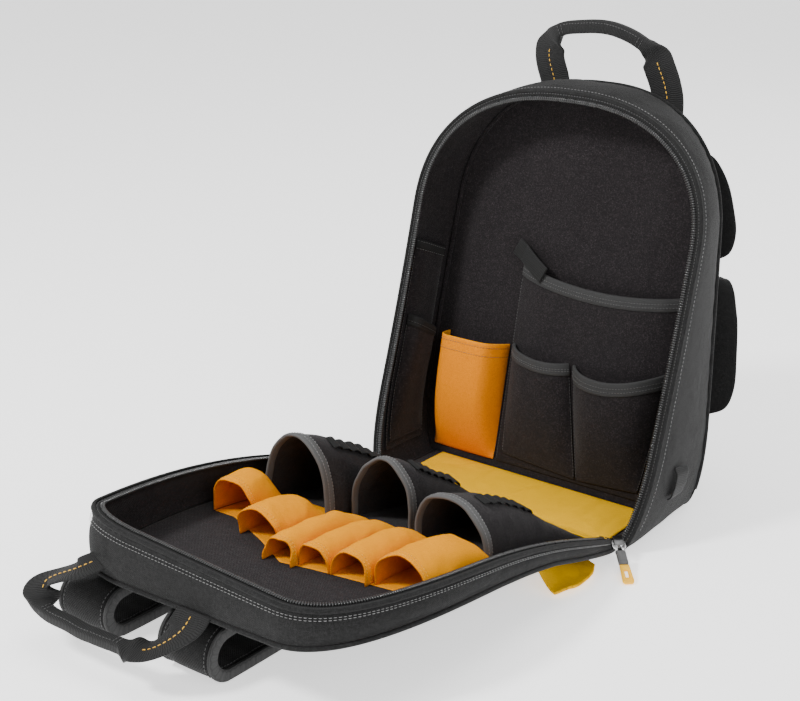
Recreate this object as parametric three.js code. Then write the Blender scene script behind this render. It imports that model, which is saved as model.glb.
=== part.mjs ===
import * as THREE from 'three';

// An empty tool backpack, opened out. The main half stands on its base with its zipped mouth toward -Y,
// and the back half lies before it as a shallow tray on its folded shoulder straps.
// Millimetres, +Z up. The main half's base is centred on the origin.

// Cloth thicknesses and clearances
const seamGap = 0.3;
const restGap = 0.6;
const wallGap = 1.5;
const rimSeam = 0.9;
const trayRimSeam = 0.5;
const gussetSeat = 2.3;
const gussetCloth = 2.5;
const panelCloth = 3;
const liningCloth = 1.8;
const pocketCloth = 1.6;
const bindingCloth = 1.1;
const webbingCloth = 2.6;

// Main half: a leaning rim, a gusset and a tapered front panel
const baseDepth = 150;
const rimHalfWidth = 180;
const rimHeight = 463;
const rimCrownHeight = 148;
const rimCrownFlat = 5;
const rimLean = 15.75;
const rimBow = 8;
const footWidth = 24;
const footHeight = 103;
const frontHalfWidth = 176;
const frontHeight = 445;
const frontCrownHeight = 142;
const frontTaper = 0.175;
const frontLean = 0.12;
const frontCrownBulge = 9;
const gussetBulge = 5.5;
const crownPower = 2.28;

// Back half, laid down as a tray: distances along it run from the hinge
const trayHalfWidth = 168;
const trayLength = 450;
const trayRun = 0.978;
const hingeHeight = 12.7;
const trayRise = 0.207;
const trayBow = 29.8;
const trayTwist = 9.4;
const trayDepth = 45;
const trayFlare = 4;
const trayShallow = 0.3;
const trayBulge = 3;
const nearCrownHeight = 202;
const nearCrownFlat = 73;
const farCrownHeight = 32;
const farCrownFlat = 92;
const wallShares = [[0, 0.21], [0.25, 0.53], [0.5, 0.73], [0.75, 0.87], [1, 1]];

// Zip
const tapeCloth = 1.2;
const tapeInset = 1;
const zipInset = 9;
const coilRadius = 2;

// Inner divider, floor lining and pockets
const dividerFoot = 100;
const dividerLean = 0.2;
const liningMargin = 4;
const liningPuff = 4;
const liningReach = 10;
const wallPocketStart = 0.1;
const wallPocketEnd = 0.56;
const bindingWidth = 13;
const pocketTabWidth = 22;
const pocketTabLength = 46;
const pipingRadius = 2.2;

// Tool sleeves and pouches in the tray
const sleeveHeight = 48;
const toolPouchHeight = 85;
const toolPouchFoot = 15;
const sleeveFullness = 5;
const toolPouchFullness = 1.35;
const pouchBindingWidth = 12;
const bitStripWidth = 16;
const bitStripHeight = 5;
const bitStripTurn = 0.62;
const bitStripSeat = 1;
const vaultPower = 0.85;

// Outer pouches
const upperPouchDepth = 24;
const lowerPouchDepth = 44;
const upperFlapReach = 44;
const lowerFlapReach = 72;

// Webbing, straps and pull
const handleWidth = 38;
const gripWidth = 15;
const gripThickness = 11;
const gripFrom = 0.23;
const gripFull = 0.32;
const handleRise = 66;
const handleReach = 80;
const trayHandleReach = 58;
const strapWidth = 66;
const strapThickness = 12;
const strapBend = 22;
const strapDip = 7;
const strapSeat = 1;
const strapWebWidth = 25;
const buckleBar = 5;
const sideLoopHeight = 78;
const sideLoopLength = 34;
const wingThickness = 4;
const wingHang = 4;
const sliderLength = 15;
const sliderWidth = 10;
const sliderHeight = 8;
const bailLength = 14;
const bailWire = 1.1;
const bailSeat = 4.1;
const pullLength = 20;
const pullWidth = 10;
const pullThickness = 4.5;
const tabLength = 26;
const tabWidth = 12;
const tabThickness = 3;
const sliderLift = 15.5;
const sliderInset = 1;
const pullTurn = -48;
const pullTip = 17;

// Steps along each stretch of an outline, and across a pocket
const footSteps = 4;
const sideSteps = 3;
const crownSteps = 8;
const pocketColumns = 10;
const pocketRows = 5;

const charcoal = { color: 0x3f4144, roughness: 0.95 };
const black = { color: 0x222225, roughness: 0.95 };
const yellow = { color: 0xf6c415, roughness: 0.9 };
const orange = { color: 0xf59b1c, roughness: 0.9 };
const grey = { color: 0x6b6d70, roughness: 0.9 };
const webbingBlack = { color: 0x1c1c1e, roughness: 0.8 };
const zipBlack = { color: 0x121214, roughness: 0.4 };
const plastic = { color: 0x18181a, roughness: 0.5 };
const metal = { color: 0xb9bbbd, roughness: 0.35, metalness: 1 };

const radians = THREE.MathUtils.degToRad;
const lerp = THREE.MathUtils.lerp;
const clamp = THREE.MathUtils.clamp;
const vector = (x, y, z) => new THREE.Vector3(x, y, z);

const backpack = new THREE.Group();
backpack.position.y = -baseDepth / 2;

function addPiece(name, geometry, finish) {
  const mesh = new THREE.Mesh(geometry, new THREE.MeshStandardMaterial(finish));
  mesh.name = name;
  backpack.add(mesh);
  return mesh;
}

// The value of a table of [share, value] rows at a share between them
function fromTable(table, share) {
  const row = clamp(table.findIndex(([at]) => at >= share), 1, table.length - 1);
  const [low, lowValue] = table[row - 1];
  const [high, highValue] = table[row];
  return lerp(lowValue, highValue, clamp((share - low) / (high - low), 0, 1));
}

// A closed body from corners and triangles, turned so that its faces point out
function body(corners, triangles) {
  let volume = 0;
  for (const [a, b, c] of triangles) {
    volume += corners[a].dot(corners[b].clone().cross(corners[c]));
  }
  const faces = volume > 0 ? triangles : triangles.map(([a, b, c]) => [a, c, b]);
  const geometry = new THREE.BufferGeometry().setFromPoints(corners);
  geometry.setIndex(faces.flat());
  geometry.computeVertexNormals();
  return geometry;
}

// A body lofted through rings of corners, with a flat fan over each end
function loft(rings) {
  const sides = rings[0].length;
  const corners = rings.flat();
  const triangles = [];
  for (let r = 0; r < rings.length - 1; r++) {
    for (let i = 0; i < sides; i++) {
      const [a, b] = [r * sides + i, r * sides + ((i + 1) % sides)];
      triangles.push([a, b, b + sides], [a, b + sides, a + sides]);
    }
  }
  const last = (rings.length - 1) * sides;
  for (let i = 1; i < sides - 1; i++) {
    triangles.push([0, i + 1, i], [last, last + i, last + i + 1]);
  }
  return body(corners, triangles);
}

// A sheet of cloth: a grid of points, lifted off along its normals by a start and a thickness. The normals
// are those of the grid's rows crossed with its columns, so a minus sign lifts to the other side.
function sheet(grid, start, thickness) {
  const rows = grid.length;
  const columns = grid[0].length;
  const lifted = (amount) => grid.map((row, r) => row.map((point, c) => {
    const across = row[Math.min(c + 1, columns - 1)].clone().sub(row[Math.max(c - 1, 0)]);
    const along = grid[Math.min(r + 1, rows - 1)][c].clone().sub(grid[Math.max(r - 1, 0)][c]);
    return point.clone().addScaledVector(across.cross(along).normalize(), amount);
  }));
  const corners = [...lifted(start).flat(), ...lifted(start + thickness).flat()];
  const count = rows * columns;
  const triangles = [];
  const quad = (a, b, c, d) => triangles.push([a, b, c], [a, c, d]);
  for (let r = 0; r < rows - 1; r++) {
    for (let c = 0; c < columns - 1; c++) {
      const a = r * columns + c;
      quad(a, a + columns, a + columns + 1, a + 1);
      quad(count + a, count + a + 1, count + a + columns + 1, count + a + columns);
    }
  }
  const bottom = (rows - 1) * columns;
  for (let c = 0; c < columns - 1; c++) {
    quad(c, c + 1, count + c + 1, count + c);
    quad(bottom + c + 1, bottom + c, count + bottom + c, count + bottom + c + 1);
  }
  for (let r = 0; r < rows - 1; r++) {
    const a = r * columns;
    const b = a + columns - 1;
    quad(a + columns, a, count + a, count + a + columns);
    quad(b, b + columns, count + b + columns, count + b);
  }
  return body(corners, triangles);
}

// A panel inside a closed edge: rings drawn in from the edge to a centre, each point put in place
function panel(edge, centre, ringCount, place, thickness) {
  const corners = [];
  for (const lift of [0, thickness]) {
    for (let ring = ringCount; ring > 0; ring--) {
      for (const point of edge) {
        const inner = centre.clone().lerp(point, ring / ringCount);
        corners.push(place(inner.x, inner.y, lift));
      }
    }
    corners.push(place(centre.x, centre.y, lift));
  }
  const sides = edge.length;
  const count = ringCount * sides + 1;
  const triangles = [];
  for (let i = 0; i < sides; i++) {
    const next = (i + 1) % sides;
    for (let ring = 0; ring < ringCount - 1; ring++) {
      const [a, b] = [ring * sides + i, ring * sides + next];
      const [c, d] = [count + a, count + b];
      triangles.push([a, b, b + sides], [a, b + sides, a + sides]);
      triangles.push([c, d + sides, d], [c, c + sides, d + sides]);
    }
    const inner = (ringCount - 1) * sides;
    triangles.push([inner + i, inner + next, count - 1]);
    triangles.push([count + inner + next, count + inner + i, 2 * count - 1]);
    triangles.push([next, i, count + i], [next, count + i, count + next]);
  }
  return body(corners, triangles);
}

// A strap along a path: each row of the path has a point, a width, a thickness, and either the way its face
// looks or the way across it
const strapSection = [
  [-0.5, -0.3], [-0.42, -0.5], [0.42, -0.5], [0.5, -0.3],
  [0.5, 0.3], [0.42, 0.5], [-0.42, 0.5], [-0.5, 0.3],
];
const webbingSection = [[-0.5, -0.5], [0.5, -0.5], [0.5, 0.5], [-0.5, 0.5]];

function strap(path, section) {
  return loft(path.map((row, i) => {
    const before = path[Math.max(i - 1, 0)].at;
    const after = path[Math.min(i + 1, path.length - 1)].at;
    const along = after.clone().sub(before).normalize();
    const face = row.across
      ? row.across.clone().cross(along).normalize()
      : row.face.clone().addScaledVector(along, -row.face.dot(along)).normalize();
    const across = along.clone().cross(face);
    return section.map(([wide, thick]) => row.at.clone()
      .addScaledVector(across, wide * row.width)
      .addScaledVector(face, thick * row.thickness));
  }));
}

// A round cord along points, with a fixed number of sides
function cordBody(points, radius, sides) {
  return loft(points.map((point, i) => {
    const before = points[Math.max(i - 1, 0)];
    const after = points[Math.min(i + 1, points.length - 1)];
    const along = after.clone().sub(before).normalize();
    const helper = Math.abs(along.z) < 0.8 ? vector(0, 0, 1) : vector(0, 1, 0);
    const across = along.clone().cross(helper).normalize();
    const up = across.clone().cross(along);
    return Array.from({ length: sides }, (_, side) => {
      const turn = (2 * Math.PI * side) / sides;
      return point.clone()
        .addScaledVector(across, radius * Math.cos(turn))
        .addScaledVector(up, radius * Math.sin(turn));
    });
  }));
}

// Half an outline, from its foot to its crown: an elliptic foot, a straight side, a superelliptic crown
function halfOutline(shape, crown) {
  const points = [];
  for (let i = 0; i <= footSteps; i++) {
    const turn = (Math.PI / 2) * (i / footSteps);
    points.push([
      shape.halfWidth - footWidth + footWidth * Math.sin(turn),
      footHeight * (1 - Math.cos(turn)),
    ]);
  }
  const shoulder = shape.height - crown.height;
  for (let i = 1; i < sideSteps; i++) {
    points.push([shape.halfWidth, lerp(footHeight, shoulder, i / sideSteps)]);
  }
  for (let i = 0; i <= crownSteps; i++) {
    const turn = (Math.PI / 2) * (i / crownSteps);
    const power = 2 / crownPower;
    points.push([
      crown.flat + (shape.halfWidth - crown.flat) * Math.abs(Math.cos(turn)) ** power,
      shoulder + crown.height * Math.sin(turn) ** power,
    ]);
  }
  return points;
}

// The whole outline, from the left foot over the crown to the right foot
function outline(shape) {
  const left = halfOutline(shape, shape.left).map(([x, v]) => new THREE.Vector2(-x, v));
  const right = halfOutline(shape, shape.right).map(([x, v]) => new THREE.Vector2(x, v));
  return [...left, ...right.reverse()];
}

function inwards(points) {
  return points.map((point, i) => {
    const before = points[Math.max(i - 1, 0)];
    const after = points[Math.min(i + 1, points.length - 1)];
    const along = after.clone().sub(before).normalize();
    return new THREE.Vector2(along.y, -along.x);
  });
}

function inset(points, distance) {
  const inward = inwards(points);
  return points.map((point, i) => point.clone().addScaledVector(inward[i], distance));
}

function between(points, index) {
  const low = clamp(Math.floor(index), 0, points.length - 2);
  return points[low].clone().lerp(points[low + 1], index - low);
}

// Main half
const rimCrown = { height: rimCrownHeight, flat: rimCrownFlat };
const frontCrown = { height: frontCrownHeight, flat: rimCrownFlat };
const rimOutline = outline({ halfWidth: rimHalfWidth, height: rimHeight, left: rimCrown, right: rimCrown });
const frontOutline = outline({
  halfWidth: frontHalfWidth, height: frontHeight, left: frontCrown, right: frontCrown,
});
const rimInward = inwards(rimOutline);
const lastPoint = rimOutline.length - 1;

function onRim(point, depth) {
  const share = point.y / rimHeight;
  const back = point.y * Math.sin(radians(rimLean)) + rimBow * 4 * share * (1 - share);
  return vector(point.x, back + depth, point.y * Math.cos(radians(rimLean)));
}

function frontNarrowing(height) {
  return 1 - frontTaper * (height / frontHeight);
}

function onFrontPlane(point) {
  return vector(point.x * frontNarrowing(point.y), baseDepth + frontLean * point.y, point.y);
}

// A point of the gusset, at a place round the outline, a share of the way from rim to front, moved in
function mainWall(index, share, inward) {
  const rimPoint = onRim(between(rimOutline, index), tapeCloth + rimSeam);
  const frontPoint = onFrontPlane(between(frontOutline, index));
  const towards = between(rimInward, index);
  const lifted = Math.min(1, between(rimOutline, index).y / footHeight);
  const push = inward - gussetBulge * 4 * share * (1 - share) * lifted;
  return rimPoint.lerp(frontPoint, share).add(vector(towards.x * push, 0, towards.y * push));
}

const gussetShares = [0, 0.2, 0.5, 0.8, 1];
const indexes = rimOutline.map((_, i) => i);

function mainGusset() {
  return sheet(gussetShares.map((share) => indexes.map((i) => mainWall(i, share, 0))), 0, -gussetCloth);
}

function basePanel() {
  const margin = footWidth + gussetCloth + seamGap + tapeInset;
  const shape = new THREE.Shape();
  shape.moveTo(-rimHalfWidth + margin, 0);
  shape.lineTo(rimHalfWidth - margin, 0);
  shape.lineTo(frontHalfWidth - margin, baseDepth);
  shape.lineTo(-frontHalfWidth + margin, baseDepth);
  return new THREE.ExtrudeGeometry(shape, { depth: panelCloth, bevelEnabled: false });
}

// How far the front panel's cloth stands out of its plane
function frontBulge(x, z) {
  const up = clamp(z / frontHeight, 0, 1);
  const side = clamp(x / frontHalfWidth, -1, 1);
  return frontCrownBulge * (1 - side * side) * 4 * up * (1 - up);
}

function onFrontPanel(x, z, off) {
  return vector(x, baseDepth + frontLean * z + frontBulge(x, z) + off, z);
}

function frontPanel() {
  const edge = frontOutline.map((point) => new THREE.Vector2(point.x * frontNarrowing(point.y), point.y));
  const centre = new THREE.Vector2(0, frontHeight * 0.45);
  return panel(edge, centre, 5, (x, z, lift) => onFrontPanel(x, z, seamGap + lift), panelCloth);
}

function rimStrip(points, place, thickness) {
  return sheet([inset(points, tapeInset).map(place), inset(points, coilEdge).map(place)], 0, thickness);
}

const coilEdge = zipInset - coilRadius - seamGap;

// The divider closes the main half off from its front compartment
function dividerY(z) {
  return dividerFoot + dividerLean * z;
}

function dividerShare(index) {
  let [low, high] = [0, 1];
  for (let i = 0; i < 24; i++) {
    const middle = (low + high) / 2;
    const point = mainWall(index, middle, gussetCloth + wallGap);
    if (point.y < dividerY(point.z)) low = middle;
    else high = middle;
  }
  return low;
}

function divider() {
  const edge = indexes.map((i) => {
    const point = mainWall(i, dividerShare(i), gussetCloth + wallGap);
    return new THREE.Vector2(point.x, Math.max(point.z, panelCloth + seamGap));
  });
  const centre = new THREE.Vector2(0, frontHeight * 0.45);
  return panel(edge, centre, 2, (x, z, lift) => vector(x, dividerY(z) + lift, z), liningCloth);
}

function onDivider(x, z, off) {
  const lean = Math.atan(dividerLean);
  return vector(x, dividerY(z) - off * Math.cos(lean), z + off * Math.sin(lean));
}

// A patch pocket is sewn down at its sides and its foot and stands open at its mouth. Its row of sizes
// gives its edges where it is carried, its depth, and how boxy it is across and up.
function pocketEdges(pocket, across, up) {
  const left = lerp(pocket.leftFoot, pocket.leftMouth, up);
  const right = lerp(pocket.rightFoot, pocket.rightMouth, up);
  const dip = pocket.dip * 4 * across * (1 - across);
  const mouth = lerp(pocket.mouthLeft, pocket.mouthRight, across) - dip;
  const foot = lerp(pocket.footLeft, pocket.footRight, across);
  return { left, right, foot, mouth };
}

function pocketStand(pocket, across, up) {
  const side = 1 - Math.abs(2 * across - 1) ** pocket.boxAcross;
  return pocket.depth * side * (1 - (1 - up) ** pocket.boxUp);
}

function standAt(pocket, x, z) {
  let [across, up] = [0.5, 0.5];
  for (let i = 0; i < 6; i++) {
    const edges = pocketEdges(pocket, across, up);
    across = clamp((x - edges.left) / (edges.right - edges.left), 0, 1);
    up = clamp((z - edges.foot) / (edges.mouth - edges.foot), 0, 1);
  }
  return pocketStand(pocket, across, up);
}

function pocketGrid(pocket, carrier, fromUp, toUp) {
  const grid = [];
  for (let r = 0; r <= pocketRows; r++) {
    const up = lerp(fromUp, toUp, r / pocketRows);
    const row = [];
    for (let c = 0; c <= pocketColumns; c++) {
      const across = (1 - Math.cos((Math.PI * c) / pocketColumns)) / 2;
      const edges = pocketEdges(pocket, across, up);
      const x = lerp(edges.left, edges.right, across);
      const z = lerp(edges.foot, edges.mouth, up);
      row.push(carrier(x, z, pocketStand(pocket, across, up)));
    }
    grid.push(row);
  }
  return grid;
}

function bindingStart(pocket, width) {
  return 1 - width / (pocket.mouthLeft - pocket.footLeft);
}

// Pockets on the divider: widths as shares of the rim's half width, heights as shares of the front's height
function dividerPocket(shares) {
  const wide = rimHalfWidth;
  const tall = frontHeight;
  return {
    leftFoot: shares.leftFoot * wide, rightFoot: shares.rightFoot * wide,
    leftMouth: shares.leftMouth * wide, rightMouth: shares.rightMouth * wide,
    footLeft: shares.footLeft * tall, footRight: shares.footRight * tall,
    mouthLeft: shares.mouthLeft * tall, mouthRight: shares.mouthRight * tall,
    dip: shares.dip * tall, depth: shares.depth * baseDepth,
    boxAcross: shares.boxAcross, boxUp: shares.boxUp,
  };
}

const tabletPocket = dividerPocket({
  leftFoot: -0.35, rightFoot: 0.73, leftMouth: -0.34, rightMouth: 0.82,
  footLeft: 0.03, footRight: 0.03, mouthLeft: 0.54, mouthRight: 0.535,
  dip: 0.03, depth: 0.09, boxAcross: 4, boxUp: 2,
});
const phonePocket = dividerPocket({
  leftFoot: -0.3, rightFoot: 0.24, leftMouth: -0.32, rightMouth: 0.11,
  footLeft: 0.055, footRight: 0.04, mouthLeft: 0.335, mouthRight: 0.32,
  dip: 0.012, depth: 0.095, boxAcross: 4, boxUp: 2.4,
});
const meterPocket = dividerPocket({
  leftFoot: 0.26, rightFoot: 0.68, leftMouth: 0.16, rightMouth: 0.77,
  footLeft: 0.04, footRight: 0.05, mouthLeft: 0.32, mouthRight: 0.35,
  dip: 0.03, depth: 0.13, boxAcross: 4, boxUp: 2.4,
});
const batteryPocket = dividerPocket({
  leftFoot: -0.84, rightFoot: -0.38, leftMouth: -0.84, rightMouth: -0.38,
  footLeft: 0.03, footRight: 0.03, mouthLeft: 0.33, mouthRight: 0.33,
  dip: 0, depth: 0.23, boxAcross: 6, boxUp: 4,
});

function onTabletPocket(x, z, off) {
  return onDivider(x, z, restGap + standAt(tabletPocket, x, z) + 1.5 * pocketCloth + off);
}

// Pockets on the left wall: across is a share from rim to front, heights as shares of the front's height
const deepWallPocket = {
  leftFoot: wallPocketStart, rightFoot: wallPocketEnd, leftMouth: wallPocketStart, rightMouth: wallPocketEnd,
  footLeft: 0.05 * frontHeight, footRight: 0.05 * frontHeight,
  mouthLeft: 0.585 * frontHeight, mouthRight: 0.545 * frontHeight,
  dip: 0, depth: 0.045 * baseDepth, boxAcross: 4, boxUp: 3,
};
const shortWallPocket = {
  leftFoot: wallPocketStart + 0.02, rightFoot: wallPocketEnd - 0.02,
  leftMouth: wallPocketStart + 0.02, rightMouth: wallPocketEnd - 0.02,
  footLeft: 0.07 * frontHeight, footRight: 0.07 * frontHeight,
  mouthLeft: 0.395 * frontHeight, mouthRight: 0.335 * frontHeight,
  dip: 0, depth: 0.05 * baseDepth, boxAcross: 4, boxUp: 3,
};

function wallIndexAt(share, z) {
  let [low, high] = [0, lastPoint / 2];
  for (let i = 0; i < 24; i++) {
    const middle = (low + high) / 2;
    if (mainWall(middle, share, 0).z < z) low = middle;
    else high = middle;
  }
  return low;
}

function onLeftWall(share, z, off) {
  return mainWall(wallIndexAt(share, z), share, gussetCloth + wallGap + off);
}

function onDeepWallPocket(share, z, off) {
  return onLeftWall(share, z, restGap + standAt(deepWallPocket, share, z) + 1.6 * pocketCloth + off);
}

function pocketTab() {
  const top = tabletPocket.mouthLeft + pocketTabWidth / 2;
  const path = [0, 0.3, 0.65, 1].map((share) => {
    const x = tabletPocket.leftMouth - pocketTabWidth / 2 + share * pocketTabLength;
    const z = top + 8 - share * 26;
    const off = restGap + webbingCloth / 2 + standAt(tabletPocket, x, z) + 3 * pocketCloth;
    const at = onDivider(x, z, off);
    return { at, width: pocketTabWidth, thickness: webbingCloth, face: vector(0, 1, 0) };
  });
  return strap(path, webbingSection);
}

function cornerPiping() {
  const points = [];
  for (let i = 3; i <= lastPoint - 3; i++) {
    const inward = gussetCloth + restGap + pipingRadius + seamGap;
    const point = mainWall(i, dividerShare(i), inward);
    const off = pipingRadius + seamGap;
    points.push(onDivider(point.x, point.z, off));
  }
  return cordBody(points, pipingRadius, 5);
}

// Tray
const trayCrowns = {
  left: { height: farCrownHeight, flat: farCrownFlat },
  right: { height: nearCrownHeight, flat: nearCrownFlat },
};
const trayOutline = outline({ halfWidth: trayHalfWidth, height: trayLength, ...trayCrowns });
const trayFootOutline = outline({
  halfWidth: trayHalfWidth + trayFlare, height: trayLength + trayFlare, ...trayCrowns,
});

function trayRimHeight(x, along) {
  const share = along / trayLength;
  const bowed = hingeHeight + trayRise * along + trayBow * 4 * share * (1 - share);
  return bowed - trayTwist * (x / trayHalfWidth) * share;
}

function trayWallHeight(x, along) {
  const share = clamp(along / trayLength, 0, 1);
  const shallow = trayShallow * (x / trayHalfWidth) * Math.min(1, 3 * share);
  return trayDepth * fromTable(wallShares, share) * (1 - shallow);
}

function trayY(along) {
  return -seamGap - trayRun * along;
}

function onTrayRim(point, drop) {
  return vector(point.x, trayY(point.y), trayRimHeight(point.x, point.y) - drop);
}

// A point above the tray's floor
function onTrayFloor(x, along, off) {
  const under = trayRimHeight(x, along) - trayWallHeight(x, along);
  return vector(x, trayY(along), under + panelCloth + off);
}

function trayWall(i, share, inward) {
  const rimPoint = onTrayRim(trayOutline[i], tapeCloth + trayRimSeam);
  const footPoint = trayFootOutline[i];
  const low = onTrayFloor(footPoint.x, footPoint.y, gussetSeat);
  const towards = inwards(trayOutline)[i];
  const lifted = Math.min(1, trayOutline[i].y / footHeight);
  const push = inward - trayBulge * 4 * share * (1 - share) * lifted;
  return rimPoint.lerp(low, share).add(vector(towards.x * push, -towards.y * push, 0));
}

function trayGusset() {
  return sheet([0, 0.35, 0.7, 1].map((share) => indexes.map((i) => trayWall(i, share, 0))), 0, gussetCloth);
}

function backPanel() {
  const centre = new THREE.Vector2(0, trayLength * 0.5);
  const place = (x, along, lift) => onTrayFloor(x, along, lift - panelCloth);
  return panel(trayFootOutline, centre, 6, place, panelCloth);
}

function floorLining() {
  const halfWidth = trayHalfWidth - footWidth - gussetCloth - liningMargin;
  const back = dividerFoot - seamGap - liningCloth;
  const baseTop = panelCloth + seamGap;
  const rows = [];
  for (const share of [1, 0.6, 0.2]) {
    rows.push((x) => onTrayFloor(x, share * liningReach, restGap));
  }
  for (const share of [0.1, 0.3, 0.5, 0.7, 0.9, 1]) {
    const puff = liningPuff * Math.sin(Math.PI * Math.sqrt(share));
    rows.push((x) => vector(x, share * back, baseTop + puff * (1 - (x / halfWidth) ** 6)));
  }
  const grid = rows.map((row) => {
    const points = [];
    for (let c = 0; c <= 10; c++) points.push(row(lerp(-halfWidth, halfWidth, c / 10)));
    return points;
  });
  return sheet(grid, 0, liningCloth);
}

// The yellow wing is the folded end of the lining's side gusset, tucked out under the near wall
function hingeWing() {
  const rows = [];
  const startAlong = trayLength * 0.09;
  const endAlong = trayLength * 0.26;
  for (const along of [0, 0.2, 0.5, 0.8, 1]) {
    const distance = lerp(startAlong, endAlong, along);
    const under = onTrayFloor(0.75 * trayHalfWidth, distance, 0).z - panelCloth;
    const top = Math.max(0, under - restGap - wingThickness - wingHang);
    const row = [];
    for (const out of [0, 0.3, 0.6, 0.85, 1]) {
      const reach = trayHalfWidth * lerp(0.74, 1 - 0.06 * (2 * along - 1) ** 2, out);
      const drop = lerp(top, 0, Math.sin((Math.PI / 2) * out));
      row.push(vector(reach, trayY(distance + 2 * wingHang * out), drop + wingHang));
    }
    rows.push(row);
  }
  return sheet(rows, 0, -wingThickness);
}

// Tool sleeves: centre and half width as shares of the tray's half width, mouth and length as shares of its
// length, height as a share of the sleeve height
const sleeveRows = [
  { centre: -0.73, halfWidth: 0.155, mouth: 0.635, length: 0.125, height: 0.95 },
  { centre: -0.36, halfWidth: 0.15, mouth: 0.7, length: 0.185, height: 0.72 },
  { centre: -0.075, halfWidth: 0.095, mouth: 0.76, length: 0.305, height: 0.56 },
  { centre: 0.14, halfWidth: 0.095, mouth: 0.745, length: 0.29, height: 0.54 },
  { centre: 0.375, halfWidth: 0.115, mouth: 0.735, length: 0.27, height: 0.62 },
  { centre: 0.7, halfWidth: 0.17, mouth: 0.72, length: 0.255, height: 0.78 },
];
const toolPouchRows = [
  { centre: -0.548, halfWidth: 0.24, mouth: 0.5, height: 1 },
  { centre: -0.03, halfWidth: 0.21, mouth: 0.435, height: 0.86 },
  { centre: 0.51, halfWidth: 0.23, mouth: 0.45, height: 0.7 },
];

// A vault of cloth over the tray's floor, closed down to the floor at its back and open at its mouth
function vaultGrid(row, fromShare, toShare, power) {
  const grid = [];
  for (let r = 0; r <= pocketRows; r++) {
    const share = lerp(fromShare, toShare, r / pocketRows);
    const along = lerp(row.back, row.mouth, share);
    const points = [];
    for (let c = 0; c <= pocketColumns; c++) {
      const turn = (Math.PI * c) / pocketColumns;
      const x = row.centre - row.halfWidth * Math.cos(turn);
      const rise = row.height * Math.sin(turn) ** vaultPower * (1 - (1 - share) ** power);
      points.push(onTrayFloor(x, along, restGap + rise));
    }
    grid.push(points);
  }
  return grid;
}

function sleeveSizes(row) {
  const mouth = row.mouth * trayLength;
  return {
    centre: row.centre * trayHalfWidth, halfWidth: row.halfWidth * trayHalfWidth,
    mouth, back: mouth - row.length * trayLength, height: row.height * sleeveHeight,
  };
}

function toolPouchSizes(row) {
  return {
    centre: row.centre * trayHalfWidth, halfWidth: row.halfWidth * trayHalfWidth,
    mouth: row.mouth * trayLength, back: toolPouchFoot, height: row.height * toolPouchHeight,
  };
}

// An elastic strip of bit loops on the near slope of a tool pouch
function bitStrip(row) {
  const pouch = toolPouchSizes(row);
  const place = (share, turn) => {
    const along = lerp(pouch.back, pouch.mouth, share);
    const full = 1 - (1 - share) ** toolPouchFullness;
    const x = pouch.centre - pouch.halfWidth * Math.cos(turn);
    return onTrayFloor(x, along, restGap + pouch.height * full * Math.sin(turn) ** vaultPower);
  };
  const turn = Math.PI * bitStripTurn;
  const path = [0.42, 0.52, 0.62, 0.72, 0.82].map((share) => {
    const down = place(share, turn + 0.1).sub(place(share, turn - 0.1));
    const along = place(share + 0.05, turn).sub(place(share - 0.05, turn));
    const face = down.cross(along).normalize();
    if (face.z < 0) face.negate();
    const at = place(share, turn).addScaledVector(face, pocketCloth + bitStripHeight / 2 + bitStripSeat);
    return { at, width: bitStripWidth, thickness: bitStripHeight, face };
  });
  return strap(path, webbingSection);
}

// Pouches on the front panel
function frontPocket(shares) {
  const wide = frontHalfWidth;
  const tall = frontHeight;
  return {
    leftFoot: -shares.footWide * wide, rightFoot: shares.footWide * wide,
    leftMouth: -shares.mouthWide * wide, rightMouth: shares.mouthWide * wide,
    footLeft: shares.foot * tall, footRight: shares.foot * tall,
    mouthLeft: shares.mouth * tall, mouthRight: shares.mouth * tall,
    dip: 0, depth: shares.depth, boxAcross: shares.boxAcross, boxUp: shares.boxUp,
  };
}

const upperPouch = frontPocket({
  footWide: 0.8, mouthWide: 0.8, foot: 0.59, mouth: 0.77, depth: upperPouchDepth, boxAcross: 12, boxUp: 1.3,
});
const lowerPouch = frontPocket({
  footWide: 0.9, mouthWide: 0.9, foot: 0.05, mouth: 0.31, depth: lowerPouchDepth, boxAcross: 16, boxUp: 1.3,
});

function onFrontFace(x, z, off) {
  return onFrontPanel(x, z, seamGap + panelCloth + restGap + off);
}

// A flap is sewn to the panel above its pouch and hangs out over it: heights as shares of the front's height,
// reach and width as shares of the flap's own reach and the front's half width
const upperFlapRows = [
  { height: 0.862, out: 0, wide: 0.68 },
  { height: 0.845, out: 0.38, wide: 0.73 },
  { height: 0.79, out: 0.7, wide: 0.8 },
  { height: 0.72, out: 0.9, wide: 0.85 },
  { height: 0.655, out: 1, wide: 0.87 },
  { height: 0.61, out: 1, wide: 0.84 },
  { height: 0.585, out: 0.97, wide: 0.74 },
];
const lowerFlapRows = [
  { height: 0.57, out: 0, wide: 0.88 },
  { height: 0.545, out: 0.48, wide: 0.9 },
  { height: 0.46, out: 0.82, wide: 0.91 },
  { height: 0.36, out: 0.98, wide: 0.92 },
  { height: 0.25, out: 1, wide: 0.93 },
  { height: 0.205, out: 0.98, wide: 0.89 },
  { height: 0.18, out: 0.95, wide: 0.78 },
];

function pouchFlap(rows, reach) {
  return sheet(rows.map((row) => {
    const points = [];
    for (let c = 0; c <= pocketColumns; c++) {
      const side = (2 * c) / pocketColumns - 1;
      const sag = 1 - 0.08 * side * side;
      const x = side * row.wide * frontHalfWidth;
      points.push(onFrontFace(x, row.height * frontHeight, reach * row.out * sag));
    }
    return points;
  }), 0, pocketCloth);
}

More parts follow.
